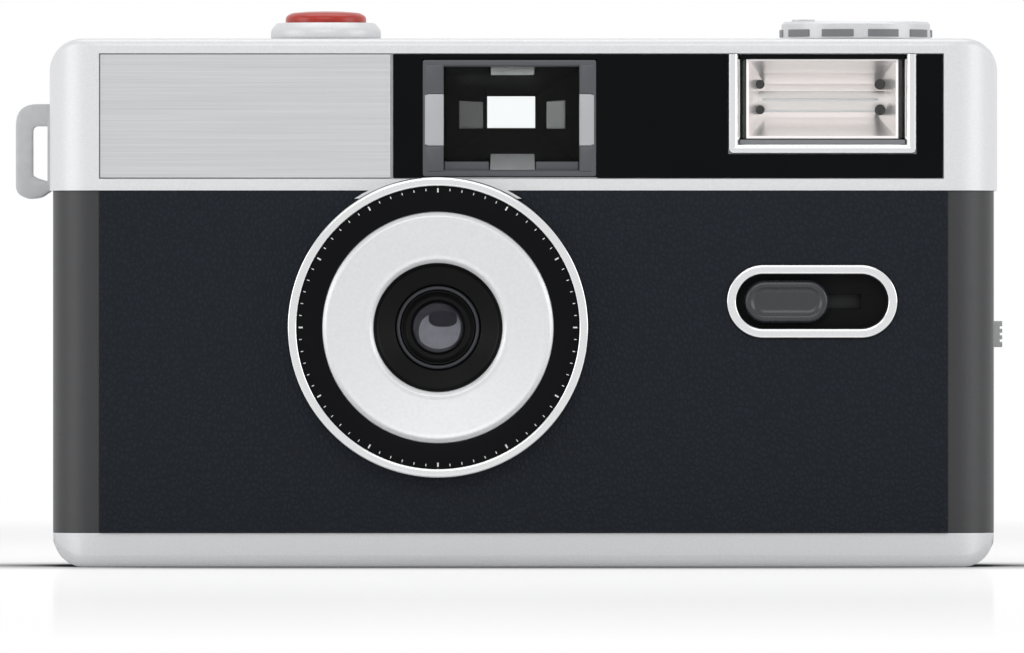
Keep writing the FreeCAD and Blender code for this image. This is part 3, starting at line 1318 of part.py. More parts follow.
def make_rewind_fork():
    """Rewind shaft, forked at its lower end to turn the cassette's spool."""
    body = piece("rewind_fork")
    revolve(body, "Z", REWIND, polygon(
        ("0", "fork_tip"), ("fork_radius - 0.3", "fork_tip"), ("fork_radius", "fork_tip + 0.3"),
        ("fork_radius", "chassis_top + 1"), ("3.5", "chassis_top + 1"), ("3.5", "chassis_top + 2"),
        ("fork_radius", "chassis_top + 2"), ("fork_radius", "knob_bottom"), ("0", "knob_bottom")))
    pocket(body, "XY", "fork_tip", "fork_tip + 2.6",
           rectangle("rewind_x - 0.8", "rewind_x + 0.8", "rewind_y - 3", "rewind_y + 3"))


def make_rewind_knob():
    """Flat rewind knob with a slot across its top for the folding crank."""
    body = piece("rewind_knob")
    pad(body, "XY", "knob_bottom", "knob_top", circle(*REWIND, "knob_radius"))
    soften(body, "Chamfer", "0.3", lambda spot, way: at(spot.z, "knob_top"))
    pocket(body, "XY", "crank_z - crank_thickness / 2 - 0.2", "knob_top",
           rectangle("rewind_x - knob_radius - 1", "rewind_x + knob_radius + 1",
                     "rewind_y - crank_width / 2 - slide_gap",
                     "rewind_y + crank_width / 2 + slide_gap"))
    pocket(body, "XZ", "rewind_y - crank_width / 2 - 1.4", "rewind_y + crank_width / 2 + 1.4",
           circle("crank_x", "crank_z", "0.3 + running_gap"))
    for count in (-2, 2):
        pocket(body, "XY", "knob_top - 0.5", "knob_top",
               rectangle(f"rewind_x + {count} * 1.6 - 0.5", f"rewind_x + {count} * 1.6 + 0.5",
                         "rewind_y + crank_width / 2 + 1.5", "rewind_y + knob_radius"))


def make_rewind_crank():
    """Folding crank arm, rounded round its pivot, with a finger knob at its far end."""
    body = piece("rewind_crank")
    half = "crank_thickness / 2"
    front, back = "rewind_y - crank_width / 2", "rewind_y + crank_width / 2"
    far = "rewind_x - knob_radius + 0.8"
    pad(body, "XZ", front, back,
        rectangle(far, "crank_x", f"crank_z - {half}", f"crank_z + {half}"))
    pad(body, "XZ", front, back, circle("crank_x", "crank_z", half))
    pocket(body, "XZ", front, back, circle("crank_x", "crank_z", "0.3 + running_gap"))
    pocket(body, "XY", f"crank_z - {half}", f"crank_z + {half}",
           slot(f"{far} + 5", "crank_x - 1.6", "rewind_y - 0.9", "rewind_y + 0.9"))
    pad(body, "XY", f"crank_z + {half}", "knob_top + 0.3", circle(f"{far} + 2", "rewind_y", "1.4"))


def make_crank_pin():
    """Pin on which the crank folds."""
    body = piece("crank_pin")
    pad(body, "XZ", "rewind_y - crank_width / 2 - 1.2", "rewind_y + crank_width / 2 + 1.2",
        circle("crank_x", "crank_z", "0.3"))


def make_rewind_release():
    """Small button in the base that frees the film for rewinding."""
    body = piece("rewind_release")
    revolve(body, "Z", RELEASE, polygon(
        ("0", "0.5"), ("2.1", "0.5"), ("2.4", "0.8"), ("2.4", "base_wall + slide_gap"),
        ("3.2", "base_wall + slide_gap"), ("3.2", "base_wall + 0.8"), ("0", "base_wall + 0.8")))


def make_release_spring():
    """Coil spring that pushes the rewind release down again."""
    body = piece("release_spring")
    coil(body, RELEASE, "1.8", "base_wall + 0.85", "base_wall + 4.55", 3)


def make_battery_door():
    """Flush door of the battery bay, with its hinge barrel and pivots."""
    body = piece("battery_door")
    left, right = "battery_x - bay_half_width", "battery_x + bay_half_width"
    pad(body, "XY", "0.3", "base_wall - 0.1", rectangle(left, right, "bay_front", "bay_hinge_y - 0.2"))
    pad(body, "YZ", left, right, circle("bay_hinge_y", "bay_hinge_z", "0.6"))
    pad(body, "YZ", f"{left} - 0.8", f"{right} + 0.8", circle("bay_hinge_y", "bay_hinge_z", "0.5"))
    for count in range(3):
        pocket(body, "XY", "0.3", "0.6",
               rectangle("battery_x - 3", "battery_x + 3", f"bay_front + {1.2 + count * 1.1:.1f}",
                         f"bay_front + {1.7 + count * 1.1:.1f}"))


def make_battery_spring():
    """Coil contact on the inside of the battery door."""
    body = piece("battery_spring")
    coil(body, BATTERY, "2.4", "base_wall - 0.1", "base_wall + 3.2", 3)


def make_strap_lug():
    """Strap lug on the left end: a bar bent into a loop."""
    body = piece("strap_lug")
    outer, root = "lug_outer", "-half_width"
    low, high = "lug_low", "lug_high"
    front, back = "lug_y - lug_depth / 2", "lug_y + lug_depth / 2"
    pad(body, "XZ", front, back, polygon(
        (root, f"{low} + 0.2"), (root, high), (outer, high, "2.6"), (outer, low),
        (f"{outer} + 1.5", f"{low} - 0.8"), (f"{root} - 1", f"{low} - 0.6")))
    hole_left, hole_right, hole_top = f"{outer} + lug_bar", f"{root} - 0.4", f"{high} - lug_bar - 0.8"
    pocket(body, "XZ", front, back, polygon(
        (hole_left, f"{low} + 2"), (hole_right, f"{low} + 1.3"),
        (hole_right, hole_top), (hole_left, hole_top, "0.6")))
    soften(body, "Chamfer", "0.4",
           lambda spot, way: spot.x < value("root_edge - 0.4") and abs(way.y) < 0.1
           and (at(spot.y, front) or at(spot.y, back)))


def check_and_write():
    """Look at every object's state and shape, then write each sub-part's file."""
    document.recompute()
    faults = []
    for item in document.Objects:
        if any(word in item.State for word in ("Invalid", "Error")):
            faults.append(f"{item.Name} {item.State}")
    for body in PIECES:
        shape = body.Shape
        if shape.isNull() or not shape.isValid() or not shape.Solids:
            faults.append(f"{body.Label} has no valid solid")
    if faults:
        raise ValueError("; ".join(faults))
    os.makedirs("parts", exist_ok=True)
    for body in PIECES:
        body.Shape.exportStep(f"parts/{body.Label}.step")


make_chassis()
make_light_box()
make_battery_holder()
make_front_cover()
make_front_leatherette()
make_top_cover()
make_base_cover()
make_case_screws()
make_back_door()
make_door_catch()
make_film_window()
make_door_leatherette()
make_door_hinge_pin()
make_door_latch()
make_latch_spring()
make_pressure_plate()
make_pressure_spring()
make_front_plate()
make_flash_panel()
make_viewfinder_window()
make_viewfinder_tunnel()
make_viewfinder_lenses()
make_flash_bezel()
make_flash_lens()
make_flash_reflector()
make_flash_tube()
make_flash_board()
make_flash_capacitor()
make_ready_lamp()
make_flash_switch_bezel()
make_flash_switch()
make_brass_contacts()
make_lens_ring()
make_name_ring()
make_lens_trim_ring()
make_lens_barrel()
make_lens_hood()
make_lens_glass()
make_aperture_plate()
make_shutter_blade()
make_shutter_spring()
make_release_lever()
make_shutter_button()
make_button_collar()
make_button_spring()
make_counter_dial()
make_counter_window()
make_advance_wheel()
make_takeup_spool()
make_sprocket()
make_rewind_washer()
make_rewind_fork()
make_rewind_knob()
make_rewind_crank()
make_crank_pin()
make_rewind_release()
make_release_spring()
make_battery_door()
make_battery_spring()
make_strap_lug()
check_and_write()
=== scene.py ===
import bmesh
import bpy
import json
import math
import numpy as np
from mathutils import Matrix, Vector

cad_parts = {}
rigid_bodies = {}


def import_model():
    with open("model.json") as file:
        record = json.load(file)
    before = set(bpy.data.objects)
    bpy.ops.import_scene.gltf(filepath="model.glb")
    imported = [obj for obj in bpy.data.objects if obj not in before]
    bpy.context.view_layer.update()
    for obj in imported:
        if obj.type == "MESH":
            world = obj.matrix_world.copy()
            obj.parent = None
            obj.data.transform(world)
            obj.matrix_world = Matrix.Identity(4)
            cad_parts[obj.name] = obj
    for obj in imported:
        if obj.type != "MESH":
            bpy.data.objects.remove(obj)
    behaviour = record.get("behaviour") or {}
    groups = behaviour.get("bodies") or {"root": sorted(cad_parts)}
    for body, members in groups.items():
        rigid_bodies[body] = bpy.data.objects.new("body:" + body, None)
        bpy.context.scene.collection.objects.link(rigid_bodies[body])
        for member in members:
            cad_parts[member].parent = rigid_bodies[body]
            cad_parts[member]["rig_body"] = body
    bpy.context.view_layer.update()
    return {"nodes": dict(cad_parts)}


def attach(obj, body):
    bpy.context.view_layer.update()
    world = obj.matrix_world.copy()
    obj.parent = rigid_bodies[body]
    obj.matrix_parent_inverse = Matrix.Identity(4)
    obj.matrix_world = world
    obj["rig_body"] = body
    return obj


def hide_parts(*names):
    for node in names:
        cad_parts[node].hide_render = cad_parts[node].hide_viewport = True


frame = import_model()

bl_info = {
    "name": "Compact film camera",
    "version": (1, 0, 0),
    "blender": (4, 5, 0),
    "location": "3D View > Sidebar > Film Camera",
    "description": "Dresses the packed frame of a compact 35 mm film camera with a built-in flash",
    "category": "Object",
}

# Lengths in this file are millimetres in the camera's own frame: X to the right as seen from
# the front, Y from front to back, Z up from the base. They turn into metres when a mesh is made.
MM = 0.001

# Lines of the front that several pieces share, as the camera's maker would give them.
LENS_CENTRE = (-10.35, 29.0)
RING_OUTER, RING_INNER, RING_FRONT = 18.2, 17.1, -18.3
SHELL_FRONT, COVER_FRONT = -15.1, -15.5
TRIM_OUTER, TRIM_INNER = 14.0, 7.8
FLASH_LEFT, FLASH_RIGHT, FLASH_LOW, FLASH_TOP = 24.9, 47.5, 50.1, 62.1
TUBE_Y, TUBE_Z, TUBE_RADIUS = -9.5, 56.4, 1.3
SWITCH_LEFT, SWITCH_RIGHT, SWITCH_LOW, SWITCH_HIGH = 24.6, 45.3, 27.7, 36.6
BUTTON_CENTRE = (-24.0, -6.0)
REWIND_CENTRE = (40.5, 0.4)
DIAL_CENTRE = (-14.9, 5.65)

# The stop behind the front glass is a funnel: at each of these shares of the way from its round
# rim to its hole it lies at the matching depth. The hole is a soft oval, a little off the axis.
STOP_RIM = 3.04
STOP_SHARES, STOP_DEPTHS = (0, 0.6, 1), (-13.1, -12.55, -12.1)
HOLE_HALF, HOLE_POWER = (1.7, 0.95), 0.8
HOLE_CENTRE = (LENS_CENTRE[0] + 0.6, LENS_CENTRE[1] + 1.1)

# Points closer than this, in metres, are one point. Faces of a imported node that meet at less
# than this many degrees are shaded as one curve.
WELD = 1e-7
NODE_SMOOTH = 32

# Faces of a slab whose four low corners come first, and then its four high ones in step.
SLAB_FACES = np.array([[0, 1, 2, 3], [4, 5, 6, 7], [0, 1, 5, 4], [1, 2, 6, 5], [2, 3, 7, 6], [3, 0, 4, 7]])


def linear(code):
    """Turn an sRGB hex colour into linear red, green, blue and alpha."""
    channels = np.array([int(code[i:i + 2], 16) for i in (1, 3, 5)]) / 255
    bright = ((channels + 0.055) / 1.055) ** 2.4
    return (*np.where(channels <= 0.04045, channels / 12.92, bright).tolist(), 1.0)


def shade(name, code, words):
    """A colour that the user can change, given as sRGB hex."""
    return bpy.props.FloatVectorProperty(
        name=name, description=words, subtype="COLOR", size=4, min=0, max=1, default=linear(code))


def length(name, size, words):
    """A length that the user can change, given in millimetres."""
    return bpy.props.FloatProperty(name=name, description=words, unit="LENGTH", default=size * MM, min=0)


class FilmCameraSizes(bpy.types.PropertyGroup):
    """Sizes of the finish that a user may change."""

    edge: length("Moulding edge", 0.22, "Width of the rounded edges of the mouldings")
    fine_edge: length("Trim edge", 0.1, "Width of the rounded edges of plates and small trim")
    grain: length("Leatherette grain", 0.55, "Width of one pebble of the leatherette's grain")
    brush: length("Brush line", 0.16, "Width of one brushed line of the front plate")
    flake: length("Lacquer flake", 0.24, "Width of the lacquer's flakes, drawn coarser than real ones")
    ticks: bpy.props.IntProperty(
        name="Ring ticks", description="Number of plain ticks on the dark ring", default=72, min=0)
    distance: length("Camera distance", 2500, "Distance from the view's camera to the front of the body")


class FilmCameraColours(bpy.types.PropertyGroup):
    """Colours of the finishes that a user may change."""

    lacquer: shade("Silver lacquer", "#e0e1e3", "Top and base covers")
    moulding: shade("Black moulding", "#1c1d20", "Front shell and back door")
    leather: shade("Leatherette", "#181d25", "Textured coverings")
    plate: shade("Brushed plate", "#c9cacb", "Aluminium plate at the left")
    panel: shade("Gloss panel", "#08090b", "Panel round the viewfinder and the flash")
    chrome: shade("Chrome", "#dcddde", "Lens ring, flash frame and switch frame")
    trim: shade("Satin silver", "#dcdddf", "Dished ring round the lens")
    button: shade("Button red", "#b3281b", "Shutter button")
    lug: shade("Lug grey", "#bfc0c1", "Strap lug, door latch and rewind release")
    white: shade("Print white", "#e8e8e4", "Numbers and ticks")


# Finishes: one function for each material.

MATERIALS = {}


def node(material, kind, values=None, links=None, **settings):
    """Add a node with its settings, its sockets' values and the sources linked to its sockets."""
    made = material.node_tree.nodes.new(kind)
    for key, setting in settings.items():
        setattr(made, key, setting)
    for socket, given in (values or {}).items():
        made.inputs[socket].default_value = given
    for socket, source in (links or {}).items():
        material.node_tree.links.new(source, made.inputs[socket])
    return made


def surface(name, colour, roughness, metallic=0.0, **sockets):
    """Start a material: its Principled shader, and coordinates in the camera's own frame."""
    material = bpy.data.materials.new(name)
    material.use_nodes = True
    shader = material.node_tree.nodes["Principled BSDF"]
    given = {"Base Color": colour, "Roughness": roughness, "Metallic": metallic}
    given.update({key.replace("_", " "): value for key, value in sockets.items()})
    for socket, value in given.items():
        shader.inputs[socket].default_value = value
    spot = node(material, "ShaderNodeTexCoord").outputs["Object"]
    return material, shader, spot


def per(size):
    """Texture scale for a pattern whose repeat is that size in millimetres."""
    return 1 / (size * MM)


def scaled(colour, factor):
    """The same colour, lighter or darker."""
    return (*[min(1.0, channel * factor) for channel in colour[:3]], 1.0)


def tinted(material, shader, pattern, low, high):
    """Let a pattern shade the base colour, between two pairs of (its value, share of the colour)."""
    ramp = node(material, "ShaderNodeValToRGB", links={"Fac": pattern})
    for i, (position, share) in enumerate((low, high)):
        ramp.color_ramp.elements[i].position = position
        ramp.color_ramp.elements[i].color = scaled(shader.inputs["Base Color"].default_value, share)
    material.node_tree.links.new(ramp.outputs["Color"], shader.inputs["Base Color"])


def blotch(material, shader, spot, size, spread):
    """Vary the base colour gently over patches of that size, by that share of it."""
    noise = node(material, "ShaderNodeTexNoise", {"Scale": per(size), "Detail": 3.0}, {"Vector": spot})
    tinted(material, shader, noise.outputs["Fac"], (0.3, 1 - spread), (0.7, 1 + spread))


def rough_patches(material, shader, spot, size, low, high):
    """Vary the roughness between two values over patches of that size."""
    noise = node(material, "ShaderNodeTexNoise", {"Scale": per(size), "Detail": 4.0}, {"Vector": spot})
    levels = node(material, "ShaderNodeMapRange", {"To Min": low, "To Max": high},
                  {"Value": noise.outputs["Fac"]})
    material.node_tree.links.new(levels.outputs["Result"], shader.inputs["Roughness"])


def relief(material, shader, height, depth):
    """Raise the surface by a pattern, that many millimetres high."""
    bump = node(material, "ShaderNodeBump", {"Distance": depth * MM, "Strength": 1.0},
                {"Height": height})
    material.node_tree.links.new(bump.outputs["Normal"], shader.inputs["Normal"])


def grained(material, shader, spot, size, depth):
    """Raise the surface by an even grain of that size, that many millimetres high."""
    noise = node(material, "ShaderNodeTexNoise", {"Scale": per(size), "Detail": 2.0}, {"Vector": spot})
    relief(material, shader, noise.outputs["Fac"], depth)


def silver_lacquer(sizes, colours):
    """ABS sprayed with silver lacquer: satin, with fine flakes that catch the light."""
    material, shader, spot = surface("silver_lacquer_on_abs", colours.lacquer, 0.38, 0.15)
    blotch(material, shader, spot, sizes.flake / MM, 0.035)
    rough_patches(material, shader, spot, sizes.flake / MM, 0.3, 0.46)
    grained(material, shader, spot, 1.1, 0.004)
    return material


def black_moulding(sizes, colours):
    """Moulded black ABS with a fine spark-eroded texture: a soft grey sheen at the corners."""
    material, shader, spot = surface("moulded_black_abs", colours.moulding, 0.42,
                                     Specular_IOR_Level=0.6)
    blotch(material, shader, spot, 2.5, 0.12)
    rough_patches(material, shader, spot, 0.3, 0.36, 0.5)
    grained(material, shader, spot, 0.22, 0.012)
    return material


def leatherette(sizes, colours):
    """Vinyl leatherette, embossed with a fine grain: dark valleys round satin pebbles."""
    material, shader, spot = surface("embossed_vinyl_leatherette", colours.leather, 0.6,
                                     Specular_IOR_Level=0.16)
    grain = sizes.grain / MM
    wander = node(material, "ShaderNodeTexNoise", {"Scale": per(grain * 2.2), "Detail": 2.0},
                  {"Vector": spot})
    drift = node(material, "ShaderNodeVectorMath", {1: (grain * MM * 0.9,) * 3},
                 {0: wander.outputs["Color"]}, operation="MULTIPLY")
    moved = node(material, "ShaderNodeVectorMath", links={0: spot, 1: drift.outputs["Vector"]},
                 operation="ADD")
    tall = node(material, "ShaderNodeMapping", {"Scale": (1.0, 1.0, 0.7)},
                {"Vector": moved.outputs["Vector"]})
    cells = node(material, "ShaderNodeTexVoronoi", {"Scale": per(grain), "Randomness": 1.0},
                 {"Vector": tall.outputs["Vector"]}, feature="DISTANCE_TO_EDGE")
    valley = node(material, "ShaderNodeMapRange", {"From Max": 0.3, "To Max": 1.0},
                  {"Value": cells.outputs["Distance"]}, interpolation_type="SMOOTHSTEP")
    relief(material, shader, valley.outputs["Result"], 0.05)
    tinted(material, shader, valley.outputs["Result"], (0.1, 0.72), (0.9, 1.15))
    return material


def brushed_aluminium(sizes, colours):
    """Aluminium sheet brushed from left to right: fine level lines with a soft sheen."""
    material, shader, spot = surface("brushed_aluminium", colours.plate, 0.34, 1.0,
                                     Anisotropic=0.5)
    lines = node(material, "ShaderNodeMapping",
                 {"Scale": (per(24.0), per(24.0), per(sizes.brush / MM))}, {"Vector": spot})
    noise = node(material, "ShaderNodeTexNoise", {"Scale": 1.0, "Detail": 4.0, "Roughness": 0.6},
                 {"Vector": lines.outputs["Vector"]})
    tinted(material, shader, noise.outputs["Fac"], (0.25, 0.86), (0.75, 1.06))
    relief(material, shader, noise.outputs["Fac"], 0.004)
    return material


def gloss_acrylic(sizes, colours):
    """Black acrylic with a polished face."""
    material, shader, spot = surface("polished_black_acrylic", colours.panel, 0.08,
                                     Specular_IOR_Level=0.06)
    rough_patches(material, shader, spot, 6.0, 0.05, 0.12)
    blotch(material, shader, spot, 12.0, 0.15)
    return material


def chrome_plate(sizes, colours):
    """Chrome plating on a moulded or turned part: bright, with a trace of haze."""
    material, shader, spot = surface("chrome_plating", colours.chrome, 0.14, 1.0)
    rough_patches(material, shader, spot, 1.6, 0.09, 0.2)
    return material


def satin_silver(sizes, colours):
    """Turned ring with a fine satin silver finish."""
    material, shader, spot = surface("turned_satin_silver", colours.trim, 0.4, 0.55)
    rough_patches(material, shader, spot, 0.5, 0.34, 0.48)
    blotch(material, shader, spot, 0.4, 0.03)
    return material


def ring_black(sizes, colours):
    """Anodised black of the dark ring between the lens ring and the pale one."""
    material, shader, spot = surface("anodised_black", linear("#07070a"), 0.32,
                                     Specular_IOR_Level=0.08)
    rough_patches(material, shader, spot, 0.6, 0.26, 0.4)
    return material


def hood_black(sizes, colours):
    """Matt black moulding round the glass, stepped against stray light."""
    material, shader, spot = surface("matt_black_moulding", linear("#060607"), 0.34,
                                     Specular_IOR_Level=0.12)
    rough_patches(material, shader, spot, 0.4, 0.28, 0.4)
    return material


def stop_grey(sizes, colours):
    """Dark anodised stop behind the front glass, and the thin ring round it; on the stop this dark grey is
    also painted shade for its upper half.
    """
    material, shader, spot = surface("dark_anodised_aluminium", linear("#3b3c41"), 0.4,
                                     Specular_IOR_Level=0.3)
    rough_patches(material, shader, spot, 0.6, 0.34, 0.48)
    return material


def stop_pale(sizes, colours):
    """Pale grey sheet on the stop's lower half below its hole: a painted highlight where the light falls
    in.
    """
    material, shader, spot = surface("painted_highlight_on_stop", linear("#a3a4ad"), 0.45,
                                     Specular_IOR_Level=0.3)
    rough_patches(material, shader, spot, 0.6, 0.4, 0.5)
    blotch(material, shader, spot, 0.8, 0.08)
    return material


def tunnel_black(sizes, colours):
    """Dead matt black moulding inside the viewfinder, which swallows stray light."""
    material, shader, spot = surface("dead_matt_black_moulding", linear("#070808"), 0.8,
                                     Specular_IOR_Level=0.0)
    blotch(material, shader, spot, 2.0, 0.15)
    return material


def wall_sheen(sizes, colours):
    """Black moulding with a faint polish: a dim image of the bright eyepiece."""
    material, shader, spot = surface("faintly_polished_black_moulding", linear("#060707"), 0.12,
                                     Specular_IOR_Level=0.08)
    rough_patches(material, shader, spot, 1.5, 0.08, 0.16)
    return material


def wall_gloss(sizes, colours):
    """Black moulding polished to a gloss: a clearer image of the bright eyepiece."""
    material, shader, spot = surface("polished_black_moulding", linear("#060707"), 0.12,
                                     Specular_IOR_Level=0.35)
    rough_patches(material, shader, spot, 1.5, 0.08, 0.16)
    return material


def wall_leaf(sizes, colours):
    """White sheet on the tunnel's floor: a painted reflection of the bright eyepiece."""
    material, shader, spot = surface("painted_reflection_on_tunnel_floor", linear("#f2f2f3"), 0.5)
    blotch(material, shader, spot, 1.2, 0.04)
    return material


def finder_grey(sizes, colours):
    """Grey moulded frame round the viewfinder's window."""
    material, shader, spot = surface("moulded_grey_abs", linear("#55575b"), 0.34,
                                     Specular_IOR_Level=0.35)
    rough_patches(material, shader, spot, 0.8, 0.28, 0.4)
    return material


def finder_pale(sizes, colours):
    """Paler middle of the viewfinder's side bars: a painted highlight, a lighter opaque grey on the same
    moulding.
    """
    material, shader, spot = surface("painted_highlight_on_finder_bars", linear("#b4b6b9"), 0.3)
    rough_patches(material, shader, spot, 0.8, 0.24, 0.36)
    return material


def clear_acrylic(sizes, colours):
    """Clear moulded acrylic."""
    material, shader, spot = surface("clear_acrylic", linear("#f4f6f6"), 0.03,
                                     IOR=1.49, Transmission_Weight=1.0, Specular_IOR_Level=0.35)
    rough_patches(material, shader, spot, 4.0, 0.01, 0.03)
    return material


def finder_acrylic(sizes, colours):
    """Clear acrylic of the viewfinder, bloomed so that it hardly mirrors the room.

    Its index is set low, because the bloom's weak mirroring can't be given in another way.
    """
    material, shader, spot = surface("bloomed_clear_acrylic", linear("#fbfdfd"), 0.02,
                                     IOR=1.15, Transmission_Weight=1.0)
    rough_patches(material, shader, spot, 4.0, 0.0, 0.02)
    return material


def coated_glass(sizes, colours):
    """Lens glass with a thin coating: almost wholly see-through, with a faint violet cast."""
    material, shader, spot = surface("coated_lens_glass", linear("#2b2840"), 0.02,
                                     IOR=1.52, Alpha=0.12)
    rough_patches(material, shader, spot, 3.0, 0.01, 0.04)
    return material


def flash_acrylic(sizes, colours):
    """Clear acrylic cover of the flash, thin enough to let all light in and out."""
    material, shader, spot = surface("thin_clear_acrylic", linear("#f4f4f2"), 0.05,
                                     IOR=1.49, Alpha=0.03)
    rough_patches(material, shader, spot, 4.0, 0.03, 0.08)
    return material


def vapour_coat(sizes, colours):
    """Reflector with an aluminium vapour coat: bright, and a little too soft for a mirror.

    A weak glow stands for the light that the deep trough gathers and a soft room doesn't give.
    """
    pale = linear("#f8f5f4")
    material, shader, spot = surface("aluminium_vapour_coat", pale, 0.32, 1.0,
                                     Emission_Color=pale, Emission_Strength=0.11)
    rough_patches(material, shader, spot, 1.6, 0.3, 0.36)
    return material


def flash_glass(sizes, colours):
    """Frosted glass of the flash tube."""
    material, shader, spot = surface("frosted_tube_glass", linear("#ebe8e6"), 0.2,
                                     IOR=1.47)
    rough_patches(material, shader, spot, 0.8, 0.2, 0.3)
    return material


def red_lacquer(sizes, colours):
    """Red lacquered metal of the shutter button, turned smooth."""
    material, shader, spot = surface("red_lacquer", colours.button, 0.3)
    rough_patches(material, shader, spot, 0.8, 0.24, 0.36)
    blotch(material, shader, spot, 1.2, 0.06)
    return material


def grey_moulding(sizes, colours):
    """Moulded grey plastic of the strap lug, the door latch and the rewind release."""
    material, shader, spot = surface("moulded_light_grey_abs", colours.lug, 0.42)
    blotch(material, shader, spot, 0.9, 0.04)
    grained(material, shader, spot, 0.3, 0.008)
    return material


def slider_black(sizes, colours):
    """Moulded dark grey slider, polished by the thumb."""
    material, shader, spot = surface("moulded_dark_grey_abs", linear("#24262b"), 0.26,
                                     Specular_IOR_Level=0.6)
    rough_patches(material, shader, spot, 0.7, 0.2, 0.32)
    return material


def recess_black(sizes, colours):
    """Floor of the switch's recess, a darker black than the shell's: painted shade, so that its slot hardly
    shows.
    """
    material, shader, spot = surface("painted_shade_in_switch_recess", linear("#08080a"), 0.6,
                                     Specular_IOR_Level=0.1)
    blotch(material, shader, spot, 1.0, 0.2)
    return material


def grip_grey(sizes, colours):
    """Mid grey satin moulding of the rewind knob's grips and of the ledge below the flash's window."""
    material, shader, spot = surface("moulded_mid_grey_abs", linear("#7f8184"), 0.4)
    rough_patches(material, shader, spot, 0.6, 0.34, 0.46)
    return material


def white_print(sizes, colours):
    """Matt white printing ink."""
    material, shader, spot = surface("white_printing_ink", colours.white, 0.6)
    blotch(material, shader, spot, 0.15, 0.05)
    return material


def black_print(sizes, colours):
    """Matt black printing ink."""
    material, shader, spot = surface("black_printing_ink", linear("#151517"), 0.6)
    blotch(material, shader, spot, 0.15, 0.1)
    return material


def white_moulding(sizes, colours):
    """Moulded white plastic of the counter's dial."""
    material, shader, spot = surface("moulded_white_acetal", linear("#e9e8e2"), 0.4)
    blotch(material, shader, spot, 1.0, 0.02)
    return material


def bright_steel(sizes, colours):
    """Drawn or turned steel."""
    material, shader, spot = surface("turned_steel", linear("#b9bbbe"), 0.3, 1.0)
    rough_patches(material, shader, spot, 0.5, 0.22, 0.4)
    return material


def sheet_brass(sizes, colours):
    """Stamped brass contacts."""
    material, shader, spot = surface("stamped_brass", linear("#c9a35a"), 0.3, 1.0)
    rough_patches(material, shader, spot, 0.8, 0.22, 0.42)
    return material


def circuit_board(sizes, colours):
    """Glass-epoxy board under green solder mask."""
    material, shader, spot = surface("solder_masked_board", linear("#1f5a38"), 0.35)
    blotch(material, shader, spot, 1.4, 0.3)
    return material


def capacitor_sleeve(sizes, colours):
    """Shrunk dark sleeve of the flash capacitor."""
    material, shader, spot = surface("shrunk_vinyl_sleeve", linear("#1d2536"), 0.3)
    blotch(material, shader, spot, 3.0, 0.15)
    return material


def amber_lamp(sizes, colours):
    """Moulded amber lens of the ready lamp."""
    material, shader, spot = surface("moulded_amber_lens", linear("#d9701c"), 0.15,
                                     Transmission_Weight=0.3)
    rough_patches(material, shader, spot, 0.5, 0.1, 0.2)
    return material


def inner_black(sizes, colours):
    """Plain black moulding of the inner parts, matt against stray light."""
    material, shader, spot = surface("inner_black_abs", linear("#17181a"), 0.55,
                                     Specular_IOR_Level=0.3)
    grained(material, shader, spot, 0.3, 0.015)
    blotch(material, shader, spot, 3.0, 0.15)
    return material


def finish(make):
    """The material that a function makes, made once."""
    if make.__name__ not in MATERIALS:
        scene = bpy.context.scene
        MATERIALS[make.__name__] = make(scene.film_camera_sizes, scene.film_camera_colours)
    return MATERIALS[make.__name__]


# Shapes: outlines are functions of an inset, and profiles are lists of (inset or radius, level).


def rounded_rectangle(left, right, low, high, radius, steps=10):
    """Closed outline by its inset: each corner is a quarter circle whose radius the inset shortens."""
    def outline(inset):
        bend = max(radius - inset, 0.02)
        starts = np.radians([-90, 0, 90, 180])[:, None]
        angles = starts + np.linspace(0, math.pi / 2, steps + 1)
        centres = np.array([
            [right - inset - bend, low + inset + bend],
            [right - inset - bend, high - inset - bend],
            [left + inset + bend, high - inset - bend],
            [left + inset + bend, low + inset + bend],
        ])
        arcs = bend * np.stack([np.cos(angles), np.sin(angles)], axis=-1)
        return (centres[:, None, :] + arcs).reshape(-1, 2)
    return outline


def stadium(left, right, low, high, steps=24):
    """Closed outline of a long slot with round ends, by its inset."""
    return rounded_rectangle(left, right, low, high, (high - low) / 2 - 0.001, steps)


def quadratic(starts, corners, ends, steps):
    """Curve at each corner: (1 - s) squared * start + 2 s (1 - s) * corner + s squared * end."""
    share = np.linspace(0, 1, steps + 1)[None, :, None]
    return ((1 - share) ** 2 * starts[:, None] + 2 * share * (1 - share) * corners[:, None]
            + share ** 2 * ends[:, None])


def rounded_corners(corners, radii, steps=8):
    """Closed outline through corners, each cut round by its own length with a quadratic curve."""
    spots = np.array(corners, float)
    ways = [np.roll(spots, turn, axis=0) - spots for turn in (1, -1)]
    starts, ends = [spots + way / np.linalg.norm(way, axis=1, keepdims=True) * np.array(radii)[:, None]
                    for way in ways]
    return quadratic(starts, spots, ends, steps).reshape(-1, 2)


def open_frame(left, right, low, top, radius, steps=8):
    """Open outline of a frame without its top side: down, along and up again, by its inset."""
    def outline(inset):
        bend = max(radius - inset, 0.02)
        turn = np.linspace(0, math.pi / 2, steps + 1)
        near = np.stack([left + inset + bend - bend * np.cos(turn),
                         low + inset + bend - bend * np.sin(turn)], axis=-1)
        far = np.stack([right - inset - bend + bend * np.sin(turn),
                        low + inset + bend - bend * np.cos(turn)], axis=-1)
        return np.concatenate([[[left + inset, top]], near, far, [[right - inset, top]]])
    return outline


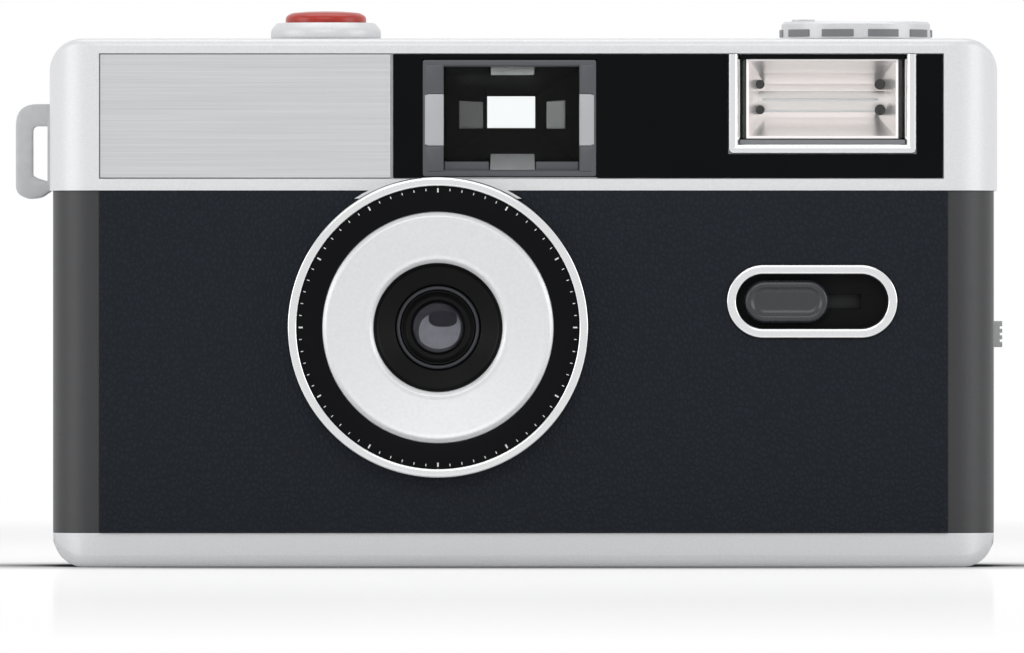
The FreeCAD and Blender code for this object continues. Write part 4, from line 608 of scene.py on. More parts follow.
def softened(corners, radius, closed=True, steps=4):
    """Profile with its corners cut round.

    Each corner becomes a quadratic curve between points that lie at most the radius, and at
    most 0.45 of the run, before and after it.
    """
    spots = np.array(corners, float)
    before = np.roll(spots, 1, axis=0) - spots
    after = np.roll(spots, -1, axis=0) - spots
    runs = [np.linalg.norm(way, axis=1, keepdims=True) for way in (before, after)]
    reach = np.minimum(radius, 0.45 * np.minimum(*runs))
    starts = spots + before / runs[0] * reach
    ends = spots + after / runs[1] * reach
    curves = quadratic(starts, spots, ends, steps)
    if closed:
        return curves.reshape(-1, 2)
    return np.concatenate([spots[:1], curves[1:-1].reshape(-1, 2), spots[-1:]])


def laid(points, plane):
    """Turn (across, up, level) on a plane into the camera's frame, in metres."""
    order = {"XY": (0, 1, 2), "XZ": (0, 2, 1), "YZ": (2, 0, 1)}[plane]
    return points[..., order] * MM


def grid_faces(rows, columns, rows_closed, columns_closed):
    """Corners of each four-sided face between neighbouring rows and columns of a grid."""
    row = np.arange(rows if rows_closed else rows - 1)[:, None]
    column = np.arange(columns if columns_closed else columns - 1)[None, :]
    next_row, next_column = (row + 1) % rows, (column + 1) % columns
    corners = [row * columns + column, row * columns + next_column,
               next_row * columns + next_column, next_row * columns + column]
    return np.stack(np.broadcast_arrays(*corners), axis=-1).reshape(-1, 4).tolist()


def shell(name, points, faces, smooth=35):
    """Make a closed mesh object: weld it, point its faces outwards and smooth it by angle."""
    mesh = bpy.data.meshes.new(name)
    mesh.from_pydata(points.reshape(-1, 3).tolist(), [], faces)
    tidy_mesh(mesh, smooth, outwards=True)
    made = bpy.data.objects.new(name, mesh)
    bpy.context.scene.collection.objects.link(made)
    return made


def tidy_mesh(mesh, smooth, outwards):
    """Weld a mesh's points, point its faces outwards if asked, and smooth it up to an angle."""
    work = bmesh.new()
    work.from_mesh(mesh)
    bmesh.ops.remove_doubles(work, verts=work.verts, dist=WELD)
    if outwards:
        bmesh.ops.recalc_face_normals(work, faces=work.faces)
    work.to_mesh(mesh)
    work.free()
    mesh.polygons.foreach_set("use_smooth", np.ones(len(mesh.polygons), bool))
    mesh.set_sharp_from_angle(angle=math.radians(smooth))
    mesh.update()


def carried(name, outline, profile, plane, ring=False, path_open=False):
    """Carry a profile of (inset, level) steps round an outline.

    Row i is the outline at the profile's inset i, laid at its level i. A ring's rows close on
    themselves; other shells close with a face at their first and last rows. On an open path the
    two ends of the profile close with a face each.
    """
    profile = np.array(profile, float)
    rows = np.stack([np.column_stack([outline(inset), np.full(len(outline(inset)), level)])
                     for inset, level in profile])
    count, width = rows.shape[:2]
    faces = grid_faces(count, width, ring, not path_open)
    if path_open:
        faces += [[i * width for i in range(count)], [i * width + width - 1 for i in range(count)]]
    elif not ring:
        faces += [list(range(width)), list(range((count - 1) * width, count * width))]
    return shell(name, laid(rows, plane), faces)


def turned(name, profile, centre, axis, ring=True, segments=160, smooth=35):
    """Turn a profile of (radius, level) points about an axis along X, Y or Z.

    A point at angle a lies at centre + radius * (cos a, sin a), at its level along the axis.
    A profile that starts and ends on the axis is a solid; one that closes is a ring.
    """
    profile = np.array(profile, float)
    angles = np.linspace(0, 2 * math.pi, segments, endpoint=False)
    across = centre[0] + profile[:, :1] * np.cos(angles)
    up = centre[1] + profile[:, :1] * np.sin(angles)
    level = np.broadcast_to(profile[:, 1:], across.shape)
    points = laid(np.stack([across, up, level], axis=-1), {"X": "YZ", "Y": "XZ", "Z": "XY"}[axis])
    faces = grid_faces(len(profile), segments, ring, True)
    return shell(name, points, faces, smooth)


def blocks(name, quads, low, high):
    """Small flat marks: each four-cornered outline of an array, raised from a low level to a high one."""
    layers = [np.concatenate([quads, np.full((*quads.shape[:2], 1), level)], axis=-1)
              for level in (low, high)]
    faces = (SLAB_FACES + 8 * np.arange(len(quads))[:, None, None]).reshape(-1, 4)
    return shell(name, laid(np.concatenate(layers, axis=1), "XZ"), faces.tolist())


def two_sided(name, layers):
    """Plate between two equal grids of (across, up, level): both sheets, and a strip along their rims."""
    points = np.stack(layers)
    rows, columns = points.shape[1:3]
    count = rows * columns
    spots = np.arange(count).reshape(rows, columns)
    rim = np.concatenate([spots[0, :-1], spots[:-1, -1], spots[-1, :0:-1], spots[:0:-1, 0]])
    after = np.roll(rim, -1)
    sides = np.stack([rim, after, after + count, rim + count], axis=-1)
    sheet = np.array(grid_faces(rows, columns, False, False))
    return shell(name, laid(points, "XZ"), np.concatenate([sheet, sheet + count, sides]).tolist())


def stop_outlines(angles):
    """The stop's rim and its hole at some angles.

    The rim is a circle. The hole lies at its half width and half height times the cosine and the
    sine, each taken to the hole's power with its sign kept.
    """
    way = np.stack([np.cos(angles), np.sin(angles)], axis=-1)
    hole = np.sign(way) * np.abs(way) ** HOLE_POWER * HOLE_HALF + HOLE_CENTRE
    return STOP_RIM * way + LENS_CENTRE, hole


def edged(made, width, angle=40, segments=2):
    """Round a piece's sharp edges with a live bevel."""
    bevel = made.modifiers.new("rounded_edges", "BEVEL")
    bevel.width = width
    bevel.segments = segments
    bevel.limit_method = "ANGLE"
    bevel.angle_limit = math.radians(angle)
    bevel.use_clamp_overlap = True
    bevel.harden_normals = True
    return made


def copied(node_name, name):
    """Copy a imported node's mesh into a piece: weld it, join its flat faces and smooth its curves."""
    mesh = frame["nodes"][node_name].data.copy()
    mesh.materials.clear()
    work = bmesh.new()
    work.from_mesh(mesh)
    bmesh.ops.remove_doubles(work, verts=work.verts, dist=WELD)
    bmesh.ops.dissolve_limit(work, angle_limit=math.radians(0.4), verts=work.verts, edges=work.edges)
    work.to_mesh(mesh)
    work.free()
    tidy_mesh(mesh, NODE_SMOOTH, outwards=False)
    made = bpy.data.objects.new(name, mesh)
    bpy.context.scene.collection.objects.link(made)
    return made


def body_of_node(node_name):
    """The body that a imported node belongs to."""
    return frame["nodes"][node_name]["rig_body"]


def seated(made, make, slot_name, *nodes, body=None):
    """Give a piece its material, its body and the nodes that it stands for; its slot name is not used."""
    made.data.materials.append(finish(make))
    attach(made, body or body_of_node(nodes[0]))
    if nodes and body is None:
        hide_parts(*nodes)
    return made


def trimmed(node_name, ending, make, slot_name):
    """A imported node's own mesh as a piece, with fine round edges and a finish."""
    made = copied(node_name, node_name + ending)
    edged(made, bpy.context.scene.film_camera_sizes.fine_edge)
    return seated(made, make, slot_name, node_name)


def painted(make, *nodes):
    """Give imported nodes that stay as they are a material."""
    for name in nodes:
        made = frame["nodes"][name]
        if not made.material_slots:
            made.data.materials.append(None)
        for place in made.material_slots:
            place.material = finish(make)


def number(text, size, spot, angle, level, name):
    """A plain number, cut as a thin mesh, facing up at a place on a dial."""
    curve = bpy.data.curves.new(name, "FONT")
    curve.body = text
    curve.size = size * MM
    curve.extrude = 0.02 * MM
    curve.align_x = "CENTER"
    curve.align_y = "CENTER"
    letters = bpy.data.objects.new(name, curve)
    mesh = bpy.data.meshes.new_from_object(letters)
    bpy.data.objects.remove(letters)
    count = len(mesh.vertices)
    flat = np.empty(count * 3)
    mesh.vertices.foreach_get("co", flat)
    flat = flat.reshape(-1, 3)
    turn = np.array([[math.cos(angle), -math.sin(angle)], [math.sin(angle), math.cos(angle)]])
    flat[:, :2] = flat[:, :2] @ turn.T + np.array(spot) * MM
    flat[:, 2] += level * MM
    mesh.vertices.foreach_set("co", flat.ravel())
    mesh.update()
    return mesh


class FILMCAMERA_OT_covers(bpy.types.Operator):
    """Top cover, base, front shell and back door"""

    bl_idname = "film_camera.covers"
    bl_label = "Covers"

    def execute(self, context):
        edge = context.scene.film_camera_sizes.edge
        for name, make, slot_name in (
            ("top_cover", silver_lacquer, "silver_paint"),
            ("base_cover", silver_lacquer, "silver_paint"),
            ("front_cover", black_moulding, "black_moulding"),
            ("back_door", black_moulding, "black_moulding"),
        ):
            made = copied(name, name + "_shell")
            if name == "base_cover":
                self.rounded_foot(made)
            edged(made, edge)
            flats = made.modifiers.new("flat_faces_stay_flat", "WEIGHTED_NORMAL")
            flats.keep_sharp = True
            seated(made, make, slot_name, name)
            if name == "front_cover":
                self.recess(made)
        return {"FINISHED"}

    def rounded_foot(self, made):
        """Round the outer bottom edge of the base: where an outer wall meets a face that looks down.

        Outer edges lie past these half sizes and below this height. A face looks down if its
        normal's upward share is below the first limit, and stands upright if it is within the second.
        """
        radius, segments = 1.5, 6
        half_length, half_depth, height = 54, 13.9, 4.0
        down, upright = -0.35, 0.15
        work = bmesh.new()
        work.from_mesh(made.data)
        work.normal_update()
        edges = []
        for line in work.edges:
            middle = (line.verts[0].co + line.verts[1].co) / 2 / MM
            outer = abs(middle.y) > half_depth or abs(middle.x) > half_length
            if len(line.link_faces) != 2 or not outer or middle.z >= height:
                continue
            low, high = sorted(face.normal.z for face in line.link_faces)
            if low < down and abs(high) < upright:
                edges.append(line)
        bmesh.ops.bevel(work, geom=edges, offset=radius * MM, offset_type="OFFSET", segments=segments,
                        profile=0.5, affect="EDGES", clamp_overlap=False)
        work.to_mesh(made.data)
        work.free()
        spots = np.empty(len(made.data.vertices) * 3)
        made.data.vertices.foreach_get("co", spots)
        spots[2::3] = np.maximum(spots[2::3], 0)
        made.data.vertices.foreach_set("co", spots)
        tidy_mesh(made.data, NODE_SMOOTH, outwards=False)

    def recess(self, made):
        """Give the faces whose middle lies in the flash switch's recess a darker black: painted shade."""
        made.data.materials.append(finish(recess_black))
        count = len(made.data.polygons)
        middles = np.empty(count * 3)
        made.data.polygons.foreach_get("center", middles)
        middles = middles.reshape(-1, 3) / MM
        margin, least_depth, most_depth = 1, 0.8, 1.7
        low = (SWITCH_LEFT + margin, SHELL_FRONT + least_depth, SWITCH_LOW + margin)
        high = (SWITCH_RIGHT - margin, SHELL_FRONT + most_depth, SWITCH_HIGH - margin)
        inside = np.all((middles > low) & (middles < high), axis=1)
        made.data.polygons.foreach_set("material_index", inside.astype(np.int32))


class FILMCAMERA_OT_coverings(bpy.types.Operator):
    """Leatherette on the front and on the door"""

    bl_idname = "film_camera.coverings"
    bl_label = "Leatherette"

    def execute(self, context):
        for name in ("front_leatherette", "door_leatherette"):
            trimmed(name, "_sheet", leatherette, "leatherette")
        return {"FINISHED"}


class FILMCAMERA_OT_panels(bpy.types.Operator):
    """Brushed plate and gloss panel of the top cover's front"""

    bl_idname = "film_camera.panels"
    bl_label = "Front panels"

    def execute(self, context):
        trimmed("front_plate", "_sheet", brushed_aluminium, "brushed_aluminium")
        trimmed("flash_panel", "_sheet", gloss_acrylic, "gloss_black")
        return {"FINISHED"}


class FILMCAMERA_OT_lens(bpy.types.Operator):
    """Rings, hood and glass of the lens"""

    bl_idname = "film_camera.lens"
    bl_label = "Lens"

    def execute(self, context):
        # The two inner rings lie on the lens ring's bed, with a little play at their rims.
        bed, bore, play = RING_FRONT + 1.7, 12.0, 0.05
        outer = softened([
            (RING_OUTER, SHELL_FRONT), (RING_OUTER, RING_FRONT), (RING_INNER, RING_FRONT),
            (RING_INNER, bed), (bore, bed), (bore, SHELL_FRONT),
        ], 0.3)
        seated(turned("lens_ring_turned", outer, LENS_CENTRE, "Y"), chrome_plate, "chrome_trim",
               "lens_ring")
        dark = softened([
            (RING_INNER - play, RING_FRONT + 0.62), (TRIM_OUTER + play, RING_FRONT + 0.75),
            (TRIM_OUTER + play, bed), (RING_INNER - play, bed),
        ], 0.08)
        seated(turned("name_ring_bare", dark, LENS_CENTRE, "Y"), ring_black, "black_moulding",
               "name_ring")
        pale = softened([
            (TRIM_OUTER, bed), (TRIM_OUTER, RING_FRONT + 0.7),
            (TRIM_OUTER - 0.55, RING_FRONT + 0.32), (TRIM_OUTER - 1.0, RING_FRONT + 0.42),
            (TRIM_INNER + 0.95, RING_FRONT + 0.95), (TRIM_INNER + 0.5, RING_FRONT + 0.9),
            (TRIM_INNER, RING_FRONT + 1.35), (TRIM_INNER, RING_FRONT + 2.2),
            (9.05, RING_FRONT + 2.2), (9.05, bed),
        ], 0.14)
        seated(turned("lens_trim_ring_turned", pale, LENS_CENTRE, "Y"), satin_silver, "silver_trim",
               "lens_trim_ring")
        self.hood()
        self.glass()
        painted(inner_black, "lens_barrel", "aperture_plate", "shutter_blade", "light_box")
        return {"FINISHED"}

    def glass(self):
        """Front and rear glass: each face bulges by its sagitta times 1 - (radius / rim) squared."""
        for name, front, back, rim, bulge, hollow in (
            ("front", -13.4, -13.15, 3.2, 0.45, 0.3), ("rear", -11.9, -11.15, 3.2, -0.2, -0.15),
        ):
            radius = np.linspace(0, rim, 24)
            fall = 1 - (radius / rim) ** 2
            faces = [np.column_stack([radius, front + 0.1 - bulge * fall]),
                     np.column_stack([radius, back - hollow * fall])[::-1]]
            made = turned(f"lens_glass_{name}", np.concatenate(faces), LENS_CENTRE, "Y", ring=False,
                          segments=96)
            seated(made, coated_glass, "lens_glass", "lens_glass")

    def hood(self):
        """Round the glass: a dark cone, a thin grey ring, a second cone, and the stop behind the glass."""
        wide, back = TRIM_INNER - 0.15, -13.5
        inner = softened([
            (wide, -16.25), (wide - 0.3, -15.9), (5.2, -14.95), (5.05, -14.6), (4.55, -14.6),
            (4.4, -14.75), (4.1, -14.45), (3.7, -14.1), (3.4, -14.15), (3.1, -13.8), (3.0, -13.55),
            (3.0, back + 0.05), (wide + 0.1, back + 0.05), (wide + 0.1, -16.25),
        ], 0.2)
        seated(turned("lens_hood_stepped", inner, LENS_CENTRE, "Y", smooth=20), hood_black,
               "black_moulding", "lens_hood")
        thin = softened([(4.6, -14.55), (4.6, -14.9), (4.8, -15.05), (5.02, -14.9), (5.02, -14.55)], 0.1)
        seated(turned("lens_retaining_ring", thin, LENS_CENTRE, "Y"), stop_grey, "black_moulding",
               body="camera_body")
        rim, hole = stop_outlines(np.linspace(0, 2 * math.pi, 96, endpoint=False))
        section = [*zip(STOP_SHARES, STOP_DEPTHS), (1, -11.97), (0, -12.9)]
        made = carried("lens_stop", lambda share: rim + (hole - rim) * share, section, "XZ", ring=True)
        seated(made, stop_grey, "black_moulding", body="camera_body")
        # The stop's lower half gets a painted highlight, a pale sheet laid on it.
        self.lip()

    def lip(self):
        """Painted highlight on the stop below its hole: a thin pale sheet over its lower half, where the
        light falls in.

        At angle a it starts beside the hole and ends at a share of the way to the rim that grows
        with the square root of 0.35 - sin a, so that it thins out to both sides. It spans the
        lower half, and past level by an angle in radians at each end.
        """
        columns, rows, past_level = 60, 8, 0.34
        beside_hole, widest = 0.97, 0.83
        angles = np.linspace(-math.pi - past_level, past_level, columns)[None, :]
        fade = np.sqrt(np.clip(0.35 - np.sin(angles), 0, 1))
        share = beside_hole - widest * fade * np.linspace(0, 1, rows)[:, None]
        rim, hole = stop_outlines(angles)
        flat = rim + (hole - rim) * share[..., None]
        depth = np.interp(share, STOP_SHARES, STOP_DEPTHS)
        layers = [np.concatenate([flat, (depth - lift)[..., None]], axis=-1) for lift in (0.06, 0.01)]
        seated(two_sided("lens_stop_painted_highlight", layers), stop_pale, "silver_trim", body="camera_body")


class FILMCAMERA_OT_ring_ticks(bpy.types.Operator):
    """Plain ticks round the dark ring of the lens: every sixth one is longer and wider"""

    bl_idname = "film_camera.ring_ticks"
    bl_label = "Ring ticks"

    def execute(self, context):
        count = context.scene.film_camera_sizes.ticks
        tall_every, level, far = 6, RING_FRONT + 0.63, 16.85
        tall = (np.arange(count) % tall_every == 0)[:, None]
        half_width = np.where(tall, 0.09, 0.05)
        near = np.where(tall, 16.35, 16.55)
        angles = np.linspace(0, 2 * math.pi, count, endpoint=False)
        way = np.stack([np.cos(angles), np.sin(angles)], axis=-1)
        side = np.stack([-np.sin(angles), np.cos(angles)], axis=-1) * half_width
        quads = np.stack([way * near - side, way * far - side, way * far + side, way * near + side], axis=1)
        made = blocks("lens_ring_ticks", quads + LENS_CENTRE, level - 0.02, level + 0.05)
        seated(made, white_print, "silver_trim", body="camera_body")
        return {"FINISHED"}


class FILMCAMERA_OT_viewfinder(bpy.types.Operator):
    """Window, frame, tunnel, lens and eyepiece of the viewfinder"""

    bl_idname = "film_camera.viewfinder"
    bl_label = "Viewfinder"

    def execute(self, context):
        painted(tunnel_black, "viewfinder_tunnel")
        eyepiece = carried("viewfinder_eyepiece_lens", rounded_rectangle(-4.74, 1.74, 53.36, 57.64, 0.3),
                           [(0.1, 14.06), (0, 14.16), (0, 14.98), (0.1, 15.08)], "XZ")
        seated(eyepiece, finder_acrylic, "lens_glass", "viewfinder_lenses")
        self.front_lens()
        frame_outline = rounded_rectangle(-12.2, 8.8, 47.3, 61.4, 0.25)
        bars = softened([(0, -14.1), (0, -15.25), (0.2, -15.3), (0.55, -15.3), (0.8, -15.0), (0.8, -14.1)],
                        0.06)
        made = carried("viewfinder_frame", frame_outline, bars, "XZ", ring=True)
        seated(made, finder_grey, "clear_plastic", "viewfinder_window")
        self.side_bars()
        self.wall_pads()
        return {"FINISHED"}

    def side_bars(self):
        """Bars at both sides of the window, each with a painted highlight in its paler middle, and the low
        sill between them.
        """
        profile = [(0.3, -15.36), (0.05, -15.25), (0, -15.1), (0, -14.2), (0.06, -14.15)]
        for name, left, right in (("left", -12.1, -9.65), ("right", 6.75, 8.7)):
            for level, low, high, make in (
                ("low", 47.9, 51.0, finder_grey),
                # The middle third is the same bar in a lighter grey: a painted highlight.
                ("pale", 51.0, 57.3, finder_pale),
                ("high", 57.3, 60.9, finder_grey),
            ):
                bar = carried(f"viewfinder_side_bar_{name}_{level}",
                              rounded_rectangle(left, right, low, high, 0.1), profile, "XZ")
                seated(bar, make, "clear_plastic", body="camera_body")
        for name, left, right in (("left", -9.6, -4.2), ("right", 1.5, 6.7)):
            sill = carried(f"viewfinder_sill_{name}", rounded_rectangle(left, right, 47.9, 49.1, 0.1),
                           [(0.1, -14.6), (0, -14.5), (0, -14.15), (0.06, -14.1)], "XZ")
            seated(sill, finder_grey, "clear_plastic", body="camera_body")

    def wall_pads(self):
        """Pads on the tunnel's four walls: polished ones on the top and the sides, and on the floor a white
        sheet as a painted reflection.

        Each pad has four corners on its wall, and the same four moved inwards by its thickness.
        """
        thick = 0.12
        for name, make, near, far, way in (
            ("top", wall_gloss, [(-4.05, -7.75, 60.98), (1.4, -7.75, 60.98)],
             [(1.4, -2.0, 60.1), (-4.05, -2.0, 60.1)], (0, 0, -thick)),
            # The floor's pad is white: a painted reflection of the eyepiece.
            ("bottom", wall_leaf, [(-4.1, -10.4, 47.33), (1.45, -10.4, 47.33)],
             [(1.45, -0.3, 49.81), (-4.1, -0.3, 49.81)], (0, 0, thick)),
            ("left", wall_sheen, [(-8.28, 2.4, 53.15), (-8.28, 2.4, 56.8)],
             [(-5.43, 11.8, 56.8), (-5.43, 11.8, 53.15)], (thick, 0, 0)),
            ("right", wall_gloss, [(5.5, 1.0, 53.15), (5.5, 1.0, 56.8)],
             [(3.32, 8.6, 56.8), (3.32, 8.6, 53.15)], (-thick, 0, 0)),
        ):
            wall = np.array(near + far, float)
            points = np.concatenate([wall, wall + way]) * MM
            seated(shell(f"viewfinder_wall_pad_{name}", points, SLAB_FACES.tolist()), make,
                   "black_moulding", body="camera_body")

    def front_lens(self):
        """Weak diverging lens: its rear face lies at a depth that grows with the square of the radius."""
        left, right, low, high = -9.45, 6.65, 48.05, 60.65
        front_level, middle_level, hollow, drop, count = -13.9, -13.2, 0.0135, 0.4, 28
        across, up = np.meshgrid(np.linspace(left, right, count), np.linspace(low, high, count))
        square = (across - (left + right) / 2) ** 2 + (up - ((low + high) / 2 - drop)) ** 2
        layers = [np.stack([across, up, level], axis=-1)
                  for level in (np.full_like(across, front_level), middle_level + hollow * square)]
        seated(two_sided("viewfinder_front_lens_glass", layers), finder_acrylic, "lens_glass",
               body="camera_body")


class FILMCAMERA_OT_flash(bpy.types.Operator):
    """Frame, clear window, reflector, tube and clips of the flash"""

    bl_idname = "film_camera.flash"
    bl_label = "Flash"

    def execute(self, context):
        outline = open_frame(FLASH_LEFT, FLASH_RIGHT, FLASH_LOW, FLASH_TOP, 0.5)
        section = softened([
            (0, COVER_FRONT + 0.8), (0, COVER_FRONT - 0.4), (0.75, COVER_FRONT - 0.4),
            (1.1, COVER_FRONT - 0.05), (1.4, COVER_FRONT + 0.8),
        ], 0.18)
        seated(carried("flash_frame", outline, section, "XZ", path_open=True), chrome_plate,
               "chrome_trim", "flash_bezel")
        window = carried("flash_window", rounded_rectangle(26.55, 45.85, 51.75, 61.45, 0.3),
                         [(0.04, -15.1), (0, -15.06), (0, -14.5), (0.04, -14.46)], "XZ")
        seated(window, flash_acrylic, "clear_plastic", "flash_lens")
        self.reflector()
        self.clips()
        for name, low, high, make, slot_name in (
            ("flash_window_ledge", 51.1, 51.74, grip_grey, "silver_trim"),
            # The strip above the window is black acrylic laid over the silver: painted shade for the dark
            # band there.
            ("flash_window_painted_shade", 61.48, 62.08, gloss_acrylic, "gloss_black"),
        ):
            strip = carried(name, rounded_rectangle(26.2, 46.2, low, high, 0.1),
                            [(0.08, -15.34), (0, -15.28), (0, -14.98), (0.05, -14.93)], "XZ")
            seated(strip, make, slot_name, body="camera_body")
        tube = softened([(0, 27.1), (TUBE_RADIUS, 27.1), (TUBE_RADIUS, 45.3), (0, 45.3)], 0.4, closed=False)
        seated(turned("flash_tube_glass", tube, (TUBE_Y, TUBE_Z), "X", ring=False, segments=48),
               flash_glass, "flash_glass", "flash_tube")
        wire = softened([(0, 29.0), (0.1, 29.0), (0.1, 43.0), (0, 43.0)], 0.05, closed=False)
        for name, up in (("upper", 0.28), ("lower", -1.15)):
            depth = TUBE_Y - math.sqrt(TUBE_RADIUS ** 2 - up ** 2) - 0.05
            made = turned(f"flash_trigger_wire_{name}", wire, (depth, TUBE_Z + up), "X", ring=False,
                          segments=12)
            seated(made, bright_steel, "steel", body="camera_body")
        painted(circuit_board, "flash_board")
        painted(capacitor_sleeve, "flash_capacitor")
        return {"FINISHED"}

    def clips(self):
        """Dark ends of the clips that hold the tube: a short pin above and below it at each end."""
        for side, across, radius in (("left", 28.7, 0.55), ("right", 43.25, 0.65)):
            for level, up in (("high", 58.5), ("low", 55.4)):
                pin = softened([(0, -11.3), (radius, -11.3), (radius, -7.6), (0, -7.6)], 0.15, closed=False)
                made = turned(f"flash_clip_{side}_{level}", pin, (across, up), "Y", ring=False, segments=24)
                seated(made, hood_black, "black_moulding", body="camera_body")

    def reflector(self):
        """Trough behind the tube: five flat strips between the corners of a profile, and two flared ends.

        Each row is a rectangle at one depth. Its ends draw in by a share of the depth, and its
        low and high sides follow the profile's corners.
        """
        depth = np.array([-13.9, -13.2, -10.4, -8.2, -7.3])
        low = np.array([52.2, 52.5, 53.5, 54.5, 55.2])
        high = np.array([61.3, 61.1, 59.9, 58.6, 57.8])
        wall, draw = 0.3, 2.2
        share = (depth - depth[0]) / (depth[-1] - depth[0])
        left, right = 27.3 + draw * share, 45.1 - draw * share

        def rings(margin, depths):
            return np.stack([
                np.column_stack([left - margin, depths, low - margin]),
                np.column_stack([right + margin, depths, low - margin]),
                np.column_stack([right + margin, depths, high + margin]),
                np.column_stack([left - margin, depths, high + margin]),
            ], axis=1)
        rows = np.concatenate([rings(0, depth), rings(wall, depth + wall * share)[::-1]])
        split = len(depth)
        faces = [face for face in grid_faces(len(rows), 4, True, True)
                 if {face[0] // 4, face[2] // 4} != {split - 1, split}]
        faces += [[(split - 1) * 4 + i for i in range(4)], [split * 4 + i for i in range(4)]]
        made = shell("flash_reflector_trough", rows * MM, faces, smooth=5)
        seated(made, vapour_coat, "reflector", "flash_reflector")


class FILMCAMERA_OT_flash_switch(bpy.types.Operator):
    """Frame, slider and light shield of the flash switch"""

    bl_idname = "film_camera.flash_switch"
    bl_label = "Flash switch"

    def execute(self, context):
        outline = stadium(SWITCH_LEFT, SWITCH_RIGHT, SWITCH_LOW, SWITCH_HIGH)
        section = softened([(0, SHELL_FRONT), (0, SHELL_FRONT - 0.9), (1.15, SHELL_FRONT - 0.9),
                            (1.2, SHELL_FRONT)], 0.3)
        seated(carried("flash_switch_frame", outline, section, "XZ", ring=True), chrome_plate,
               "chrome_trim", "flash_switch_bezel")
        self.slider()
        shield = carried("flash_switch_light_shield", rounded_rectangle(25.5, 43.5, 28.6, 36.2, 0.5),
                         [(0.05, -12.8), (0, -12.78), (0, -12.67), (0.05, -12.65)], "XZ")
        seated(shield, inner_black, "black_moulding", body="camera_body")
        painted(sheet_brass, "brass_contacts")
        return {"FINISHED"}

    def slider(self):
        """Dished slider with a raised rim, its shank through the shell and its clip behind."""
        for name, outline, profile in (
            ("slider", stadium(26.7, 37.0, 29.55, 34.75), softened([
                (2.0, -15.5), (1.5, -15.5), (1.15, -15.62), (0.75, -15.9), (0.35, -15.88), (0, -15.45),
                (0, -14.35), (2.0, -14.35)], 0.3, closed=False)),
            ("shank", rounded_rectangle(28.7, 34.3, 31.45, 32.85, 0.1), [(0, -14.4), (0, -13.3)]),
            ("clip", rounded_rectangle(28.7, 34.3, 30.35, 33.75, 0.1), [(0, -13.35), (0, -12.95)]),
        ):
            seated(carried(f"flash_switch_{name}", outline, profile, "XZ"), slider_black, "black_moulding",
                   "flash_switch")


class FILMCAMERA_OT_shutter_button(bpy.types.Operator):
    """Shutter button, its collar and its spring"""

    bl_idname = "film_camera.shutter_button"
    bl_label = "Shutter button"

    def execute(self, context):
        cap = softened([
            (0, 53.35), (1.6, 53.35), (1.6, 66.3), (3.8, 66.3), (3.8, 65.6), (4.9, 65.6),
            (4.9, 66.75), (4.2, 67.2), (2.2, 67.38), (0, 67.4),
        ], 0.35, closed=False)
        seated(turned("shutter_button_cap", cap, BUTTON_CENTRE, "Z", ring=False, segments=96),
               red_lacquer, "button_red", "shutter_button")
        collar = softened([
            (5.1, 64.0), (6.7, 64.0), (6.7, 65.1), (5.95, 66.0), (5.4, 66.0), (5.1, 65.6),
        ], 0.4)
        seated(turned("button_collar_turned", collar, BUTTON_CENTRE, "Z", segments=96),
               silver_lacquer, "chrome_trim", "button_collar")
        painted(bright_steel, "button_spring", "release_lever")
        return {"FINISHED"}


class FILMCAMERA_OT_rewind(bpy.types.Operator):
    """Rewind knob with its grips, crank, fork and washer"""

    bl_idname = "film_camera.rewind"
    bl_label = "Rewind crank"

    def execute(self, context):
        for name in ("rewind_knob", "rewind_crank"):
            trimmed(name, "_part", silver_lacquer, "silver_paint")
        painted(bright_steel, "crank_pin", "rewind_washer")
        painted(inner_black, "rewind_fork")
        self.grips()
        return {"FINISHED"}

    def grips(self):
        """Ten grips round the knob: a ring whose height and reach fall away between them.

        At angle a the grip stands by the clipped value of 3 times (cos(10 a - turn) + 0.8).
        """
        count, segments, start, root = 10, 360, 0.05, 9.0
        radius = np.array([root, 9.32, 9.32, root])
        level = np.array([64.3, 64.35, 65.2, 65.3])
        angles = np.linspace(0, 2 * math.pi, segments, endpoint=False)
        stand = np.clip(3 * (np.cos(count * (angles - start)) + 0.8), 0, 1)
        out = root + (radius[:, None] - root) * stand
        points = np.stack([REWIND_CENTRE[0] + out * np.cos(angles), REWIND_CENTRE[1] + out * np.sin(angles),
                           np.broadcast_to(level[:, None], out.shape)], axis=-1)
        made = shell("rewind_knob_grips", points * MM, grid_faces(4, segments, True, True))
        seated(made, grip_grey, "silver_paint", body=body_of_node("rewind_knob"))


class FILMCAMERA_OT_advance(bpy.types.Operator):
    """Thumb wheel, spool, sprocket and frame counter"""

    bl_idname = "film_camera.advance"
    bl_label = "Film advance and counter"

    def execute(self, context):
        trimmed("advance_wheel", "_grip", inner_black, "black_moulding")
        painted(inner_black, "takeup_spool", "sprocket")
        painted(white_moulding, "counter_dial")
        painted(clear_acrylic, "counter_window")
        self.numbers()
        return {"FINISHED"}

    def numbers(self):
        """Frame numbers round the dial, one every fourth division, joined into one piece."""
        divisions, dial_top, radius, size = 40, 61.3, 3.1, 1.25
        work = bmesh.new()
        for count in range(0, divisions, 4):
            turn = -math.pi / 2 - 2 * math.pi * count / divisions
            spot = (DIAL_CENTRE[0] + radius * math.cos(turn), DIAL_CENTRE[1] + radius * math.sin(turn))
            mesh = number(str(count), size, spot, turn + math.pi / 2, dial_top + 0.02, "frame_number")
            work.from_mesh(mesh)
            bpy.data.meshes.remove(mesh)
        mesh = bpy.data.meshes.new("counter_numbers")
        work.to_mesh(mesh)
        work.free()
        made = bpy.data.objects.new("counter_numbers", mesh)
        bpy.context.scene.collection.objects.link(made)
        seated(made, black_print, "dial_white", body="counter_dial")


